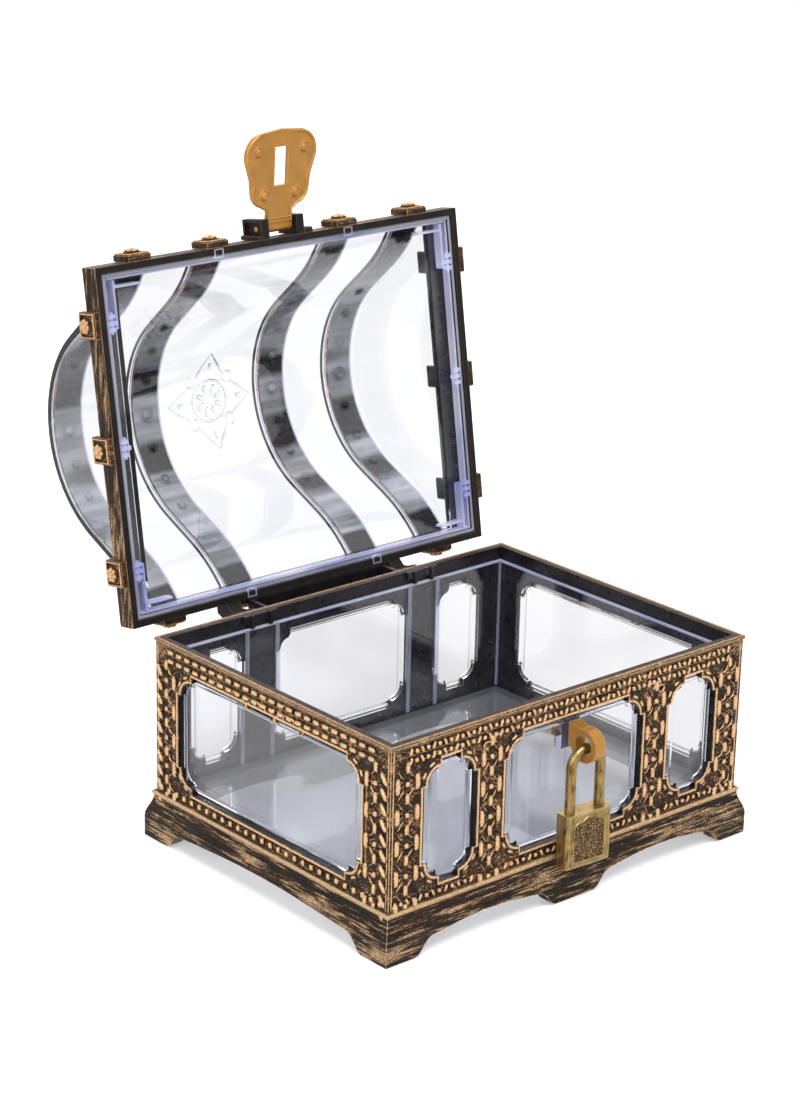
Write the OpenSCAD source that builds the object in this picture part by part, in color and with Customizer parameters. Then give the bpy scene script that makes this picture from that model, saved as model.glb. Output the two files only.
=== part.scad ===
/* [Base] */
// Width of the base across its front wall
base_w = 182; // [165:1:200]
// Depth of the base across its side walls
base_d = 139.4; // [125:0.1:155]
// Height of the wall tops above the floor
base_h = 83.9; // [80:0.1:95]
// Thickness of the moulded wall frames
wall_t = 3.2; // [2.6:0.1:4]

/* [Plinth] */
// Height of the plinth that carries the walls
plinth_h = 19.6; // [18:0.1:22]
// How far the feet stand out past the walls
plinth_out = 3.6; // [2.6:0.1:3.6]
// Thickness of the plinth's outer skirt and top plate
plinth_t = 3; // [2.4:0.1:4]
// Width of the ledge that carries the clear tray
ledge_w = 6; // [4:0.5:10]
// Length of each corner foot along the wall
foot_len = 14; // [10:0.5:20]
// Length of the middle foot at the floor
mid_foot_len = 20; // [14:0.5:26]
// Height of the scroll at each foot
foot_rise = 6.6; // [5:0.1:7.5]
// Height of the arch between the feet
arch_rise = 9; // [8:0.1:10]

/* [Windows] */
// Width of each corner column
column_w = 15; // [12:0.5:18]
// Width of each front and back pillar
pillar_w = 14; // [11:0.5:17]
// Width of the centre window in the front and back walls
mid_window_w = 71.4; // [60:0.2:80]
// Height of the rail above the windows
top_rail = 9.6; // [8:0.1:12]
// Height of the rail below the windows
bottom_rail = 5.8; // [4.5:0.1:8]
// Width of the scrolled corner of each window
spandrel_w = 8.2; // [6:0.1:10]
// Height of the scrolled corner of each window
spandrel_h = 9; // [7:0.1:11]
// Width of the small step at each end of the scroll
spandrel_step = 2; // [1:0.1:3]
// How far the raised border of each window stands out
lip_out = 0.5; // [0.3:0.1:0.7]
// Width of the raised border of each window
lip_w = 1.3; // [0.8:0.1:2]

/* [Clear tray] */
// Thickness of the clear tray
tray_t = 1.5; // [1:0.1:2.4]
// How far the tray's rim lies below the wall tops
tray_drop = 5.7; // [3:0.1:8]
// Gap between the tray and what it stands in
tray_gap = 0.2; // [0.1:0.05:0.4]
// How far each clear pane stands out into its window
pane_out = 2.4; // [1.5:0.1:2.8]
// Width of the bevel around each clear pane
pane_bevel = 1.2; // [0.6:0.1:2]

/* [Hinge] */
// Distance of the hinge pins behind the back wall
hinge_back = 6.7; // [6.2:0.1:7.4]
// Depth of the hinge pins below the wall tops
hinge_drop = 5.5; // [5:0.1:6]
// Radius of the hinge pins
hinge_pin_r = 1.1; // [0.9:0.05:1.4]
// Radius of the hinge knuckles
knuckle_r = 3.1; // [2.6:0.1:3.4]
// Width of each lid arm on its pin
arm_w = 6; // [4:0.2:7]
// Thickness of each hinge lug
lug_t = 2.3; // [1.8:0.1:2.4]
// Running clearance of the hinge, hasp and lock pivots
run_gap = 0.05; // [0.02:0.01:0.1]
// Side clearance between pieces that turn past each other
side_gap = 0.35; // [0.3:0.05:0.6]
// Angle of the lid past its closed position
lid_open = 99.2; // [90:0.2:102]

/* [Lid] */
// Gap between the closed lid and the wall tops
lid_gap = 0.3; // [0.2:0.05:0.5]
// How far the lid rim stands out past the walls
rim_out = 1; // [0.6:0.1:1.4]
// Height of the lid rim
rim_h = 8.7; // [7.5:0.1:10]
// Thickness of the lid rim's skirt
rim_t = 2.8; // [2.2:0.1:3.4]
// Thickness of the lid rim's top flange
rim_flange_t = 1.7; // [1.2:0.1:2.4]
// Height of the clear vault above the closing plane
vault_rise = 62; // [56:0.5:70]
// Radius of the vault's crown
crown_r = 47; // [43:0.5:50]
// Steepest slope of the vault's flanks, in degrees
flank_angle = 57; // [52:0.5:60]
// Slope where the vault meets the rim, in degrees
foot_angle = 34; // [28:0.5:40]
// Radius of the hollow sweep at the vault's foot
sweep_r = 61; // [52:0.5:68]
// Thickness of the clear vault
vault_t = 1.5; // [1:0.1:2]
// Distance of the vault's ends from the rim's ends
vault_end = 11.3; // [9:0.1:14]
// Distance of the vault's foot from the rim's long edges
vault_side = 4.75; // [4.2:0.05:6]

/* [Straps] */
// Width of each strap over the vault
strap_w = 12.4; // [9:0.2:13]
// Thickness of each strap
strap_t = 1.8; // [1.2:0.1:2.4]
// Distance of the inner straps from the middles of the pillars
strap_in = 9.7; // [9.4:0.1:12]
// Distance of the outer straps from the vault's ends
strap_end = 10.1; // [9:0.1:14]
// Width of each square boss plate
boss_w = 10.5; // [8:0.1:12]
// Height of each square boss plate
boss_h = 10.4; // [8:0.1:12]
// Thickness of each square boss plate
boss_t = 2.4; // [1.6:0.1:3]
// Distance between the boss plates on the rim's ends
end_boss_pitch = 48.7; // [42:0.1:52]
// Radius of the dome rivets on the boss plates
dome_r = 3.9; // [3:0.1:4.6]
// Height of the dome rivets on the boss plates
dome_h = 2; // [1.2:0.1:2.6]
// Radius of the small rivets along the straps
rivet_r = 1.7; // [1.2:0.1:2.4]
// Height of the small rivets along the straps
rivet_h = 0.9; // [0.5:0.1:1.4]

/* [Hasp] */
// Distance of the hasp pin in front of the lid rim
hasp_pin_out = 4; // [3.6:0.1:4.2]
// Height of the hasp pin above the closing plane
hasp_pin_up = 4.9; // [4.4:0.1:5.4]
// Radius of the hasp pin
hasp_pin_r = 1; // [0.8:0.05:1.2]
// Radius of the hasp's barrel
barrel_r = 2.1; // [1.8:0.1:2.3]
// Width of the hasp's barrel
barrel_w = 13.4; // [10:0.2:16]
// Thickness of the hasp's plate
hasp_t = 1.4; // [1:0.1:1.6]
// Width of the hasp's broad head
hasp_w = 35.8; // [32:0.2:38]
// Length of the hasp from its pin to its end
hasp_len = 40.1; // [38:0.1:42]
// Radius of the hasp's two shoulders
shoulder_r = 9.2; // [7:0.1:11]
// Radius of the hasp's two lower lobes
hasp_lobe_r = 7; // [6:0.1:10]
// Width of the hasp's neck
neck_w = 13; // [11:0.2:14]
// Angle of the standing hasp short of hanging down
hasp_open = 78.3; // [70:0.1:85]
// Thickness of each hasp ear
ear_t = 3.7; // [3:0.1:4.4]
// Height of each hasp ear along the rim's face
ear_h = 12.4; // [11:0.1:13]
// How far the hasp ears stand out from the rim
ear_out = 7.9; // [7:0.1:8.4]

/* [Staple] */
// Inner radius of the staple's eye
eye_r = 4.2; // [4:0.1:4.4]
// Thickness of the staple's metal
staple_t = 2.5; // [2.2:0.1:2.7]
// Width of the staple across the box
staple_w = 5.2; // [4:0.1:6]
// Clearance of the hasp's slot around the staple
slot_gap = 0.5; // [0.4:0.05:0.8]
// Distance of the staple's eye below the wall tops
eye_drop = 20; // [19.5:0.1:20.5]
// Distance of the staple's eye in front of the front wall
eye_out = 7.1; // [7:0.1:8]
// Width of the clear block behind the pane
block_w = 8.4; // [7.4:0.2:10]
// Height of the clear block behind the pane
block_h = 14; // [11:0.5:15]
// Depth of the clear block behind the pane
block_t = 3.6; // [2.6:0.1:4.6]
// Side of the square nut on the staple's stem
nut_w = 6.6; // [5.6:0.1:7.2]
// Thickness of the square nut on the staple's stem
nut_t = 2.8; // [2:0.1:3.4]

/* [Padlock] */
// Radius of the shackle's wire
wire_r = 2; // [1.6:0.1:2.2]
// Distance of each shackle leg from the middle
leg_x = 7.2; // [6.9:0.1:7.4]
// Height of the shackle above the case
shackle_rise = 26.4; // [25:0.1:26.8]
// Width of the lock's case
case_w = 22.2; // [20.4:0.1:23]
// Height of the lock's case
case_h = 21.8; // [20:0.1:22.2]
// Thickness of the lock's case
case_t = 7.2; // [6.8:0.1:7.4]
// Turn of the hanging lock about its upright axis
lock_turn = -3.5; // [-4:0.5:0]
// How far the hanging lock is slid along its staple
lock_x = -0.6; // [-1:0.1:0]
// Radius of the case's upright edges
case_r = 1.5; // [1.2:0.1:3]
// Depth of the recess for each pebbled panel
panel_deep = 0.6; // [0.5:0.05:0.7]
// Thickness of each pebbled panel
panel_t = 0.5; // [0.3:0.05:0.5]
// Travel of the case when the lock opens
lock_travel = 4.4; // [4:0.1:4.4]
// Radius of the key plug
plug_r = 2.2; // [1.8:0.1:2.3]
// Length of the key plug
plug_len = 12; // [9:0.5:14]

/* [Hidden] */
$fn = 64;
eps = 0.01;

// Base
front_y = -base_d / 2;
back_y = base_d / 2;
window_lo = plinth_h + bottom_rail;
window_hi = base_h - top_rail;
window_h = window_hi - window_lo;
window_z = (window_lo + window_hi) / 2;
side_window_w = base_w / 2 - column_w - pillar_w - mid_window_w / 2;
side_window_x = mid_window_w / 2 + pillar_w + side_window_w / 2;
end_window_w = base_d - 2 * column_w;
pillar_x = mid_window_w / 2 + pillar_w / 2;
tray_w = base_w - 2 * (wall_t + tray_gap);
tray_d = base_d - 2 * (wall_t + tray_gap);
tray_top = base_h - tray_drop;
tray_inside = front_y + wall_t + tray_gap + tray_t;
pane_face = front_y + wall_t - pane_out;
rim_bead = 1.4;
cut = 1;

// Hinge and lid, drawn shut and then turned open about the hinge pins
hinge_y = back_y + hinge_back;
hinge_z = base_h - hinge_drop;
lid_z = base_h + lid_gap;
rim_w = base_w + 2 * rim_out;
rim_d = base_d + 2 * rim_out;
rim_front = -rim_d / 2;
rim_back = rim_d / 2;
plate_t = 1.5;
vault_half_x = rim_w / 2 - vault_end;
vault_half_y = rim_d / 2 - vault_side;
fit_gap = 0.3;
vault_flange_t = 1.6;
crown_steps = 10;
sweep_steps = 6;
inner_strap_x = pillar_x - strap_in;
outer_strap_x = vault_half_x - strap_end;
strap_xs = [-outer_strap_x, -inner_strap_x, inner_strap_x, outer_strap_x];
rear_boss_h = boss_h - 1.4;
boss_lo = lid_z + 0.2;
rear_boss_lo = lid_z + 1.6;
shelf_top = hinge_z + (hinge_back - rim_out) * sin(lid_open) + (lid_z - hinge_z) * cos(lid_open) - fit_gap;
boss_reach = norm([hinge_back - rim_out - boss_t, rear_boss_lo - hinge_z]);
shelf_out = sqrt(pow(boss_reach - fit_gap, 2) - pow(shelf_top - hinge_z, 2));
shelf_skin = 1.6;
bracket_h = 12.4;
bracket_drop = 9;

// Hasp and staple
hasp_y = rim_front - hasp_pin_out;
hasp_z = lid_z + hasp_pin_up;
plate_shift = barrel_r - hasp_t / 2;
eye_z = base_h - eye_drop;
eye_y = front_y - eye_out;
ring_r = eye_r + staple_t;
staple_top = eye_z + ring_r + 0.6;
stem_z = eye_z + 3;
stem_r = 1.6;
foot_half = stem_z - eye_z + 2;
slot_w = staple_w + 2 * slot_gap;
slot_near = hasp_z - staple_top - slot_gap;
slot_far = hasp_z - eye_z + ring_r + 2 * slot_gap;
hasp_dome_r = 2;
hasp_dome_h = 1;
hasp_back_dome_h = 0.6;
shoulder_x = hasp_w / 2 - shoulder_r;
shoulder_y = shoulder_r + 0.9 - hasp_len;
kink_x = hasp_w * 0.422;
lobe_x = kink_x - hasp_lobe_r - 0.5;
lobe_y = hasp_len * -0.389;

// Padlock, hung on the staple's eye
bow_reach = staple_w / 2 - lock_x;
bow_sag = leg_x - sqrt(leg_x * leg_x - bow_reach * bow_reach);
crown_z = eye_z - eye_r + wire_r + bow_sag + 0.25;
case_top = crown_z + wire_r - shackle_rise;
case_lo = case_top - case_h;
heel_deep = 12;
toe_deep = lock_travel - 0.3;
bolt_z = case_top - toe_deep + 2.5;
bolt_r = 1;
panel_edge = 2;
panel_w = case_w - 2 * (case_r + panel_edge);
panel_h = case_h - 4;
cap_t = 1.2;
cap_reach = plug_r + 1.6;
cap_d = 4;
groove_h = 1.3;
groove_lo = plug_len - 1.9;

// Flat outline shared by the scrolled windows, drawn smaller or larger by inset
module window_shape(w, h, inset = 0) {
    arc_x = spandrel_w - spandrel_step;
    arc_y = spandrel_h - spandrel_step;
    r = min(arc_x, arc_y) - inset;
    cx = w / 2 - spandrel_w;
    cy = h / 2 - spandrel_h;
    square([2 * cx, h - 2 * inset], center = true);
    square([w - 2 * inset, 2 * cy], center = true);
    for (sx = [-1, 1], sy = [-1, 1]) translate([sx * cx, sy * cy]) circle(r);
}

// Puts a flat shape on a wall that faces along Y, its outer side towards -Y
module on_front(y, t) {
    translate([0, y + t, 0]) rotate([90, 0, 0]) linear_extrude(t) children();
}

// Puts a flat shape (Y across, Z up) on a wall that faces along X
module on_side(x, t) {
    translate([x, 0, 0]) rotate([90, 0, 90]) linear_extrude(t) children();
}

// Half of the plinth's moulded outline: how far it stands out at each height
cove = 0.9;
bead_in = 0.6;
bead_r = 1;
function ogee(z, lo, hi, out) = cove + (out - cove) * (0.5 + 0.5 * cos(180 * (z - lo) / (hi - lo)));
ogee_lo = plinth_h * 0.43;
ogee_hi = plinth_h - 2 * bead_r;
ogee_steps = 7;
plinth_side = concat([[plinth_out, 0], [plinth_out, ogee_lo]],
    [for (i = [1:ogee_steps]) let (z = ogee_lo + (ogee_hi - ogee_lo) * i / ogee_steps)
        [ogee(z, ogee_lo, ogee_hi, plinth_out), z]],
    [for (a = [-60:30:60]) [bead_in + bead_r * cos(a), plinth_h - bead_r + bead_r * sin(a)]],
    [[bead_in / 2, plinth_h]]);

module plinth_outline(width) {
    half = width / 2;
    n = len(plinth_side);
    polygon(concat([for (p = plinth_side) [half + p[0], p[1]]],
        [for (i = [n - 1:-1:0]) [-half - plinth_side[i][0], plinth_side[i][1]]]));
}

// Opening between two feet, from x0 to x1 along the floor
foot_run = 8;
module foot_arch(x0, x1) {
    run = foot_run;
    steps = 4;
    scroll = [for (i = [0:steps]) [run * i / steps, foot_rise * (0.5 - 0.5 * cos(180 * i / steps))]];
    span = x1 - x0 - 2 * run;
    rise = arch_rise - foot_rise;
    arch = [for (i = [1:7]) [x0 + run + span * i / 8, foot_rise + rise * sin(180 * i / 8)]];
    polygon(concat([[x0, -cut]], [for (p = scroll) [x0 + p[0], p[1]]], arch,
        [for (i = [steps:-1:0]) [x1 - scroll[i][0], scroll[i][1]]], [[x1, -cut]]));
}

module plinth() {
    long = base_w + 2 * (plinth_out + cut);
    feet_x = base_w / 2 + plinth_out;
    feet_y = base_d / 2 + plinth_out;
    open_w = base_w - 2 * (wall_t + ledge_w);
    open_d = base_d - 2 * (wall_t + ledge_w);
    color("#3a322c") difference() {
        intersection() {
            translate([0, long / 2, 0]) rotate([90, 0, 0]) linear_extrude(long) plinth_outline(base_w);
            translate([-long / 2, 0, 0]) rotate([90, 0, 90]) linear_extrude(long) plinth_outline(base_d);
        }
        translate([-base_w / 2 + plinth_t, -base_d / 2 + plinth_t, -cut])
            cube([base_w - 2 * plinth_t, base_d - 2 * plinth_t, plinth_h - plinth_t + cut]);
        translate([-open_w / 2, -open_d / 2, 0]) cube([open_w, open_d, plinth_h + cut]);
        for (s = [0, 1]) mirror([s, 0, 0]) on_front(-long / 2, long)
            foot_arch(mid_foot_len / 2, feet_x - foot_len);
        on_side(-long / 2, long) foot_arch(-feet_y + foot_len, feet_y - foot_len);
    }
}

// A long wall frame with three windows, its ends mitred to meet the side walls
module long_wall() {
    difference() {
        union() {
            translate([0, 0, plinth_h]) linear_extrude(base_h - plinth_h)
                polygon([[-base_w / 2, front_y], [base_w / 2, front_y],
                    [base_w / 2 - wall_t, front_y + wall_t], [-base_w / 2 + wall_t, front_y + wall_t]]);
            for (c = [[0, mid_window_w], [-side_window_x, side_window_w], [side_window_x, side_window_w]])
                on_front(front_y - lip_out, lip_out + eps) translate([c[0], window_z])
                    window_shape(c[1], window_h, -lip_w);
            translate([-base_w / 2 - lip_out, front_y - lip_out, base_h - rim_bead])
                cube([base_w + 2 * lip_out, lip_out + eps, rim_bead]);
        }
        for (c = [[0, mid_window_w], [-side_window_x, side_window_w], [side_window_x, side_window_w]])
            on_front(front_y - lip_out - cut, wall_t + lip_out + 2 * cut) translate([c[0], window_z])
                window_shape(c[1], window_h);
    }
}

module front_wall() { color("#4a3c30") long_wall(); }
module back_wall() { color("#4a3c30") rotate(180) long_wall(); }

// A short wall frame with one long window
module short_wall() {
    difference() {
        union() {
            translate([0, 0, plinth_h]) linear_extrude(base_h - plinth_h)
                polygon([[-base_w / 2, -base_d / 2], [-base_w / 2 + wall_t, -base_d / 2 + wall_t],
                    [-base_w / 2 + wall_t, base_d / 2 - wall_t], [-base_w / 2, base_d / 2]]);
            on_side(-base_w / 2 - lip_out, lip_out + eps) translate([0, window_z])
                window_shape(end_window_w, window_h, -lip_w);
            translate([-base_w / 2 - lip_out, -base_d / 2 + eps, base_h - rim_bead])
                cube([lip_out + eps, base_d - 2 * eps, rim_bead]);
        }
        on_side(-base_w / 2 - lip_out - cut, wall_t + lip_out + 2 * cut) translate([0, window_z])
            window_shape(end_window_w, window_h);
    }
}

module left_wall() { color("#4a3c30") short_wall(); }
module right_wall() { color("#4a3c30") mirror([1, 0, 0]) short_wall(); }

// A clear pane that fills one window in two steps, broad below and narrow outside
module pane(w) {
    window_shape_inset = tray_gap + fit_gap;
    on_front(front_y + wall_t - pane_out / 2, pane_out / 2 + tray_gap + eps)
        translate([0, window_z]) window_shape(w, window_h, window_shape_inset);
    on_front(front_y + wall_t - pane_out, pane_out)
        translate([0, window_z]) window_shape(w, window_h, window_shape_inset + pane_bevel);
}

module clear_tray() {
    color("#c9cdee", 0.35) difference() {
        union() {
            translate([-tray_w / 2, -tray_d / 2, plinth_h]) cube([tray_w, tray_d, tray_top - plinth_h]);
            for (turn = [0, 180]) rotate(turn) {
                pane(mid_window_w);
                for (s = [-1, 1]) translate([s * side_window_x, 0, 0]) pane(side_window_w);
            }
            for (turn = [90, -90]) rotate(turn) translate([0, (base_d - base_w) / 2, 0]) pane(end_window_w);
        }
        translate([-tray_w / 2 + tray_t, -tray_d / 2 + tray_t, plinth_h + tray_t])
            cube([tray_w - 2 * tray_t, tray_d - 2 * tray_t, base_h]);
        stem_hole(pane_face, tray_inside);
    }
}

// Hole for the staple's stem between two places along Y
module stem_hole(y0, y1) {
    translate([0, y0 - cut, stem_z]) rotate([-90, 0, 0])
        cylinder(r = stem_r + run_gap, h = y1 - y0 + 2 * cut);
}

// Shelf behind the back wall that closes the gap under the open lid
module hinge_shelf() {
    half = pillar_x - pillar_w / 2 - fit_gap;
    low = window_hi + lip_w + tray_gap;
    deep = hinge_back + shelf_out;
    notch = rim_bead + lip_out / 5;
    color("#2f2c2b") difference() {
        translate([-half, back_y, low]) cube([2 * half, deep, shelf_top - low]);
        translate([-half + shelf_skin, back_y + shelf_skin, low + shelf_skin])
            cube([2 * (half - shelf_skin), deep - 2 * shelf_skin, shelf_top - low]);
        translate([-half - cut, back_y - cut, base_h - notch])
            cube([2 * (half + cut), cut + lip_out * 1.2, notch + cut]);
    }
}

// A bracket on a back pillar with two lugs that hold a hinge pin
module hinge_bracket(x) {
    lug_x = arm_w / 2 + side_gap;
    half = lug_x + lug_t;
    color("#2f2c2b") difference() {
        union() {
            translate([x - half, back_y, hinge_z - bracket_drop]) cube([2 * half, plate_t, bracket_h]);
            for (s = [-1, 1]) translate([x + s * (lug_x + lug_t / 2), 0, 0]) {
                translate([-lug_t / 2, hinge_y, hinge_z]) rotate([0, 90, 0])
                    cylinder(r = knuckle_r, h = lug_t);
                translate([-lug_t / 2, back_y + plate_t / 2, hinge_z - knuckle_r])
                    cube([lug_t, hinge_back - plate_t / 2, 2 * knuckle_r]);
            }
        }
        translate([x - half - cut, hinge_y, hinge_z]) rotate([0, 90, 0])
            cylinder(r = hinge_pin_r + run_gap, h = 2 * (half + cut));
    }
}

module left_hinge_bracket() { hinge_bracket(-pillar_x); }
module right_hinge_bracket() { hinge_bracket(pillar_x); }

module hinge_pin(x) {
    long = arm_w + 2 * (side_gap + lug_t);
    color("#8d8f92") translate([x - long / 2, hinge_y, hinge_z]) rotate([0, 90, 0])
        cylinder(r = hinge_pin_r, h = long);
}

module left_hinge_pin() { hinge_pin(-pillar_x); }
module right_hinge_pin() { hinge_pin(pillar_x); }

// The staple: a foot on the pane, a neck and a round eye, with a stem through to its nut
module staple() {
    foot_lo = stem_z - foot_half;
    foot_y = pane_face - eps;
    neck_drop = ring_r / 8;
    color("#c8924a") {
        difference() {
            on_side(-staple_w / 2, staple_w) union() {
                translate([eye_y, eye_z]) circle(ring_r);
                polygon([[foot_y, foot_lo], [eye_y, eye_z - eye_r - staple_t / 2], [eye_y, eye_z + ring_r],
                    [eye_y + staple_t, staple_top - neck_drop], [eye_y + 2 * staple_t, staple_top],
                    [foot_y, staple_top]]);
            }
            translate([-staple_w, eye_y, eye_z]) rotate([0, 90, 0]) cylinder(r = eye_r, h = 2 * staple_w);
        }
        translate([0, foot_y - eps, stem_z]) rotate([-90, 0, 0])
            cylinder(r = stem_r, h = tray_inside + block_t + nut_t + cut - foot_y);
    }
}

// Clear block inside the tray that spreads the staple's pull
module staple_block() {
    color("#c9cdee", 0.4) difference() {
        translate([-block_w / 2, tray_inside, stem_z - block_h / 2]) cube([block_w, block_t, block_h]);
        stem_hole(tray_inside, tray_inside + block_t);
    }
}

// Square nut that clamps the staple's stem against the clear block
module staple_nut() {
    y0 = tray_inside + block_t;
    color("#c8924a") difference() {
        translate([-nut_w / 2, y0, stem_z - nut_w / 2]) cube([nut_w, nut_t, nut_w]);
        stem_hole(y0, y0 + nut_t);
    }
}

// Turns what is drawn shut into the open lid
module opened() {
    translate([0, hinge_y, hinge_z]) rotate([-lid_open, 0, 0]) translate([0, -hinge_y, -hinge_z]) children();
}

module lid_rim() {
    top_lo = rim_h - rim_flange_t;
    color("#4a3c30") opened() translate([0, 0, lid_z]) difference() {
        translate([-rim_w / 2, -rim_d / 2, 0]) cube([rim_w, rim_d, rim_h]);
        translate([-rim_w / 2 + rim_t, -rim_d / 2 + rim_t, -cut])
            cube([rim_w - 2 * rim_t, rim_d - 2 * rim_t, top_lo + cut]);
        translate([-vault_half_x - fit_gap, -vault_half_y - fit_gap, 0])
            cube([2 * (vault_half_x + fit_gap), 2 * (vault_half_y + fit_gap), rim_h + cut]);
    }
}

// An arm from the lid rim down to its hinge pin
module hinge_arm(x) {
    cheek = knuckle_r - run_gap * 3;
    top = lid_z + rim_h - 1.2;
    foot = lid_z + 0.6;
    low = hinge_z - knuckle_r / 6;
    color("#4a3c30") opened() difference() {
        union() {
            on_side(x - arm_w / 2, arm_w)
                polygon([[rim_back, foot], [rim_back, top], [hinge_y - knuckle_r / 3, top],
                    [hinge_y + cheek, hinge_z + 2 * knuckle_r], [hinge_y + cheek, low],
                    [hinge_y - cheek, low], [hinge_y - cheek, hinge_z + 1.3 * knuckle_r]]);
            translate([x - arm_w / 2, hinge_y, hinge_z]) rotate([0, 90, 0])
                cylinder(r = knuckle_r, h = arm_w);
        }
        translate([x - arm_w, hinge_y, hinge_z]) rotate([0, 90, 0])
            cylinder(r = hinge_pin_r + run_gap, h = 2 * arm_w);
    }
}

module left_hinge_arm() { hinge_arm(-pillar_x); }
module right_hinge_arm() { hinge_arm(pillar_x); }

// The vault's half outline at the distance off outside its clear face.
// It runs from the crown down a straight flank into a hollow sweep that ends level with the rim.
// Drawn to its natural width first, it is then spread to the vault's depth.
crown_end = [crown_r * sin(flank_angle), vault_rise - crown_r * (1 - cos(flank_angle))];
sweep_run = sweep_r * (sin(flank_angle) - sin(foot_angle));
sweep_fall = sweep_r * (cos(foot_angle) - cos(flank_angle));
flank_run = (crown_end[1] - sweep_fall - rim_h) / tan(flank_angle);
sweep_start = [crown_end[0] + flank_run, crown_end[1] - flank_run * tan(flank_angle)];
spread = vault_half_y / (sweep_start[0] + sweep_run);
function along(p, a, off) = let (n = norm([sin(a), spread * cos(a)]))
    [spread * p[0] + off * sin(a) / n, p[1] + off * spread * cos(a) / n];
function crown_point(a) = [crown_r * sin(a), vault_rise - crown_r * (1 - cos(a))];
function sweep_point(a) = [sweep_start[0] + sweep_r * (sin(flank_angle) - sin(a)),
    sweep_start[1] - sweep_r * (cos(a) - cos(flank_angle))];
function half_curve(off) = concat(
    [for (i = [0:crown_steps]) let (a = flank_angle * i / crown_steps) along(crown_point(a), a, off)],
    [for (i = [0:sweep_steps]) let (a = flank_angle + (foot_angle - flank_angle) * i / sweep_steps)
        along(sweep_point(a), a, off)]);
function whole_curve(off) = let (h = half_curve(off), n = len(h))
    concat([for (i = [n - 1:-1:1]) [-h[i][0], h[i][1]]], h);

// Band of material between two offsets of the vault's outline
module vault_band(inner, outer) {
    a = whole_curve(outer);
    b = whole_curve(inner);
    polygon(concat(a, [for (i = [len(b) - 1:-1:0]) b[i]]));
}

// Vault outline filled down to the height base
module vault_fill(off, base) {
    a = whole_curve(off);
    last = len(a) - 1;
    polygon(concat([[a[0][0], base]], a, [[a[last][0], base]]));
}

module clear_vault() {
    seat = rim_h - rim_flange_t;
    lip_t = vault_t - tray_gap;
    lip_lo = rim_out;
    flange_x = rim_w / 2 - rim_t - tray_gap;
    flange_y = rim_d / 2 - rim_t - tray_gap;
    color("#c9cdee", 0.35) opened() translate([0, 0, lid_z]) {
        difference() {
            union() {
                on_side(-vault_half_x, 2 * vault_half_x) vault_fill(0, seat - vault_flange_t);
                translate([-flange_x, -flange_y, lip_lo]) cube([2 * flange_x, 2 * flange_y, seat - lip_lo]);
            }
            on_side(-vault_half_x + vault_t, 2 * (vault_half_x - vault_t)) vault_fill(-vault_t, 0);
            translate([-flange_x + lip_t, -flange_y + lip_t, 0])
                cube([2 * (flange_x - lip_t), 2 * (flange_y - lip_t), seat - vault_flange_t]);
        }
    }
}

module strap(x) {
    color("#4a3c30") opened() translate([0, 0, lid_z]) intersection() {
        on_side(x - strap_w / 2, strap_w) vault_band(eps, strap_t);
        translate([x - strap_w, -rim_d / 2, rim_h]) cube([2 * strap_w, rim_d, vault_rise + 2 * strap_t]);
    }
}

module outer_left_strap() { strap(-outer_strap_x); }
module inner_left_strap() { strap(-inner_strap_x); }
module inner_right_strap() { strap(inner_strap_x); }
module outer_right_strap() { strap(outer_strap_x); }

// A dome that stands on the plane z = 0
module dome(r, h) {
    ball = (r * r + h * h) / (2 * h);
    intersection() {
        translate([0, 0, h - ball]) sphere(ball);
        cylinder(r = r + cut, h = h + cut);
    }
}

// Small rivets: one on the crown, three down each side of it and one low on each flank
module strap_rivets() {
    on_crown = 3;
    low_at = flank_run * 0.9;
    low = [crown_end[0] + low_at, crown_end[1] - low_at * tan(flank_angle)];
    color("#5b4636") opened() translate([0, 0, lid_z])
        for (x = strap_xs, i = [-on_crown - 1:on_crown + 1]) {
            a = min(abs(i) * flank_angle / (on_crown + 0.2), flank_angle);
            p = along(abs(i) <= on_crown ? crown_point(a) : low, a, strap_t + eps);
            tilt = atan2(sin(a), spread * cos(a));
            translate([x, sign(i) * p[0], p[1]]) rotate([-sign(i) * tilt, 0, 0]) dome(rivet_r, rivet_h);
        }
}

module boss_plate(h = boss_h) {
    translate([-boss_w / 2, 0, 0]) cube([boss_w, boss_t, h]);
}

module front_bosses() {
    color("#4a3c30") opened() for (x = strap_xs) translate([x, rim_front - boss_t, boss_lo]) boss_plate();
}

module rear_bosses() {
    color("#4a3c30") opened() for (x = strap_xs) translate([x, rim_back, rear_boss_lo])
        boss_plate(rear_boss_h);
}

module end_bosses(side) {
    color("#4a3c30") opened() for (y = [-end_boss_pitch, 0, end_boss_pitch])
        translate([side * rim_w / 2, y, boss_lo]) rotate(side * -90) boss_plate();
}

module left_end_bosses() { end_bosses(-1); }
module right_end_bosses() { end_bosses(1); }

module boss_rivets() {
    mid = boss_lo + boss_h / 2;
    color("#6a5038") opened() {
        for (x = strap_xs) {
            translate([x, rim_front - boss_t, mid]) rotate([90, 0, 0]) dome(dome_r, dome_h);
            translate([x, rim_back + boss_t, rear_boss_lo + rear_boss_h / 2]) rotate([-90, 0, 0])
                dome(dome_r, dome_h);
        }
        for (s = [-1, 1], y = [-end_boss_pitch, 0, end_boss_pitch])
            translate([s * (rim_w / 2 + boss_t), y, mid]) rotate([0, s * 90, 0]) dome(dome_r, dome_h);
    }
}

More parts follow.
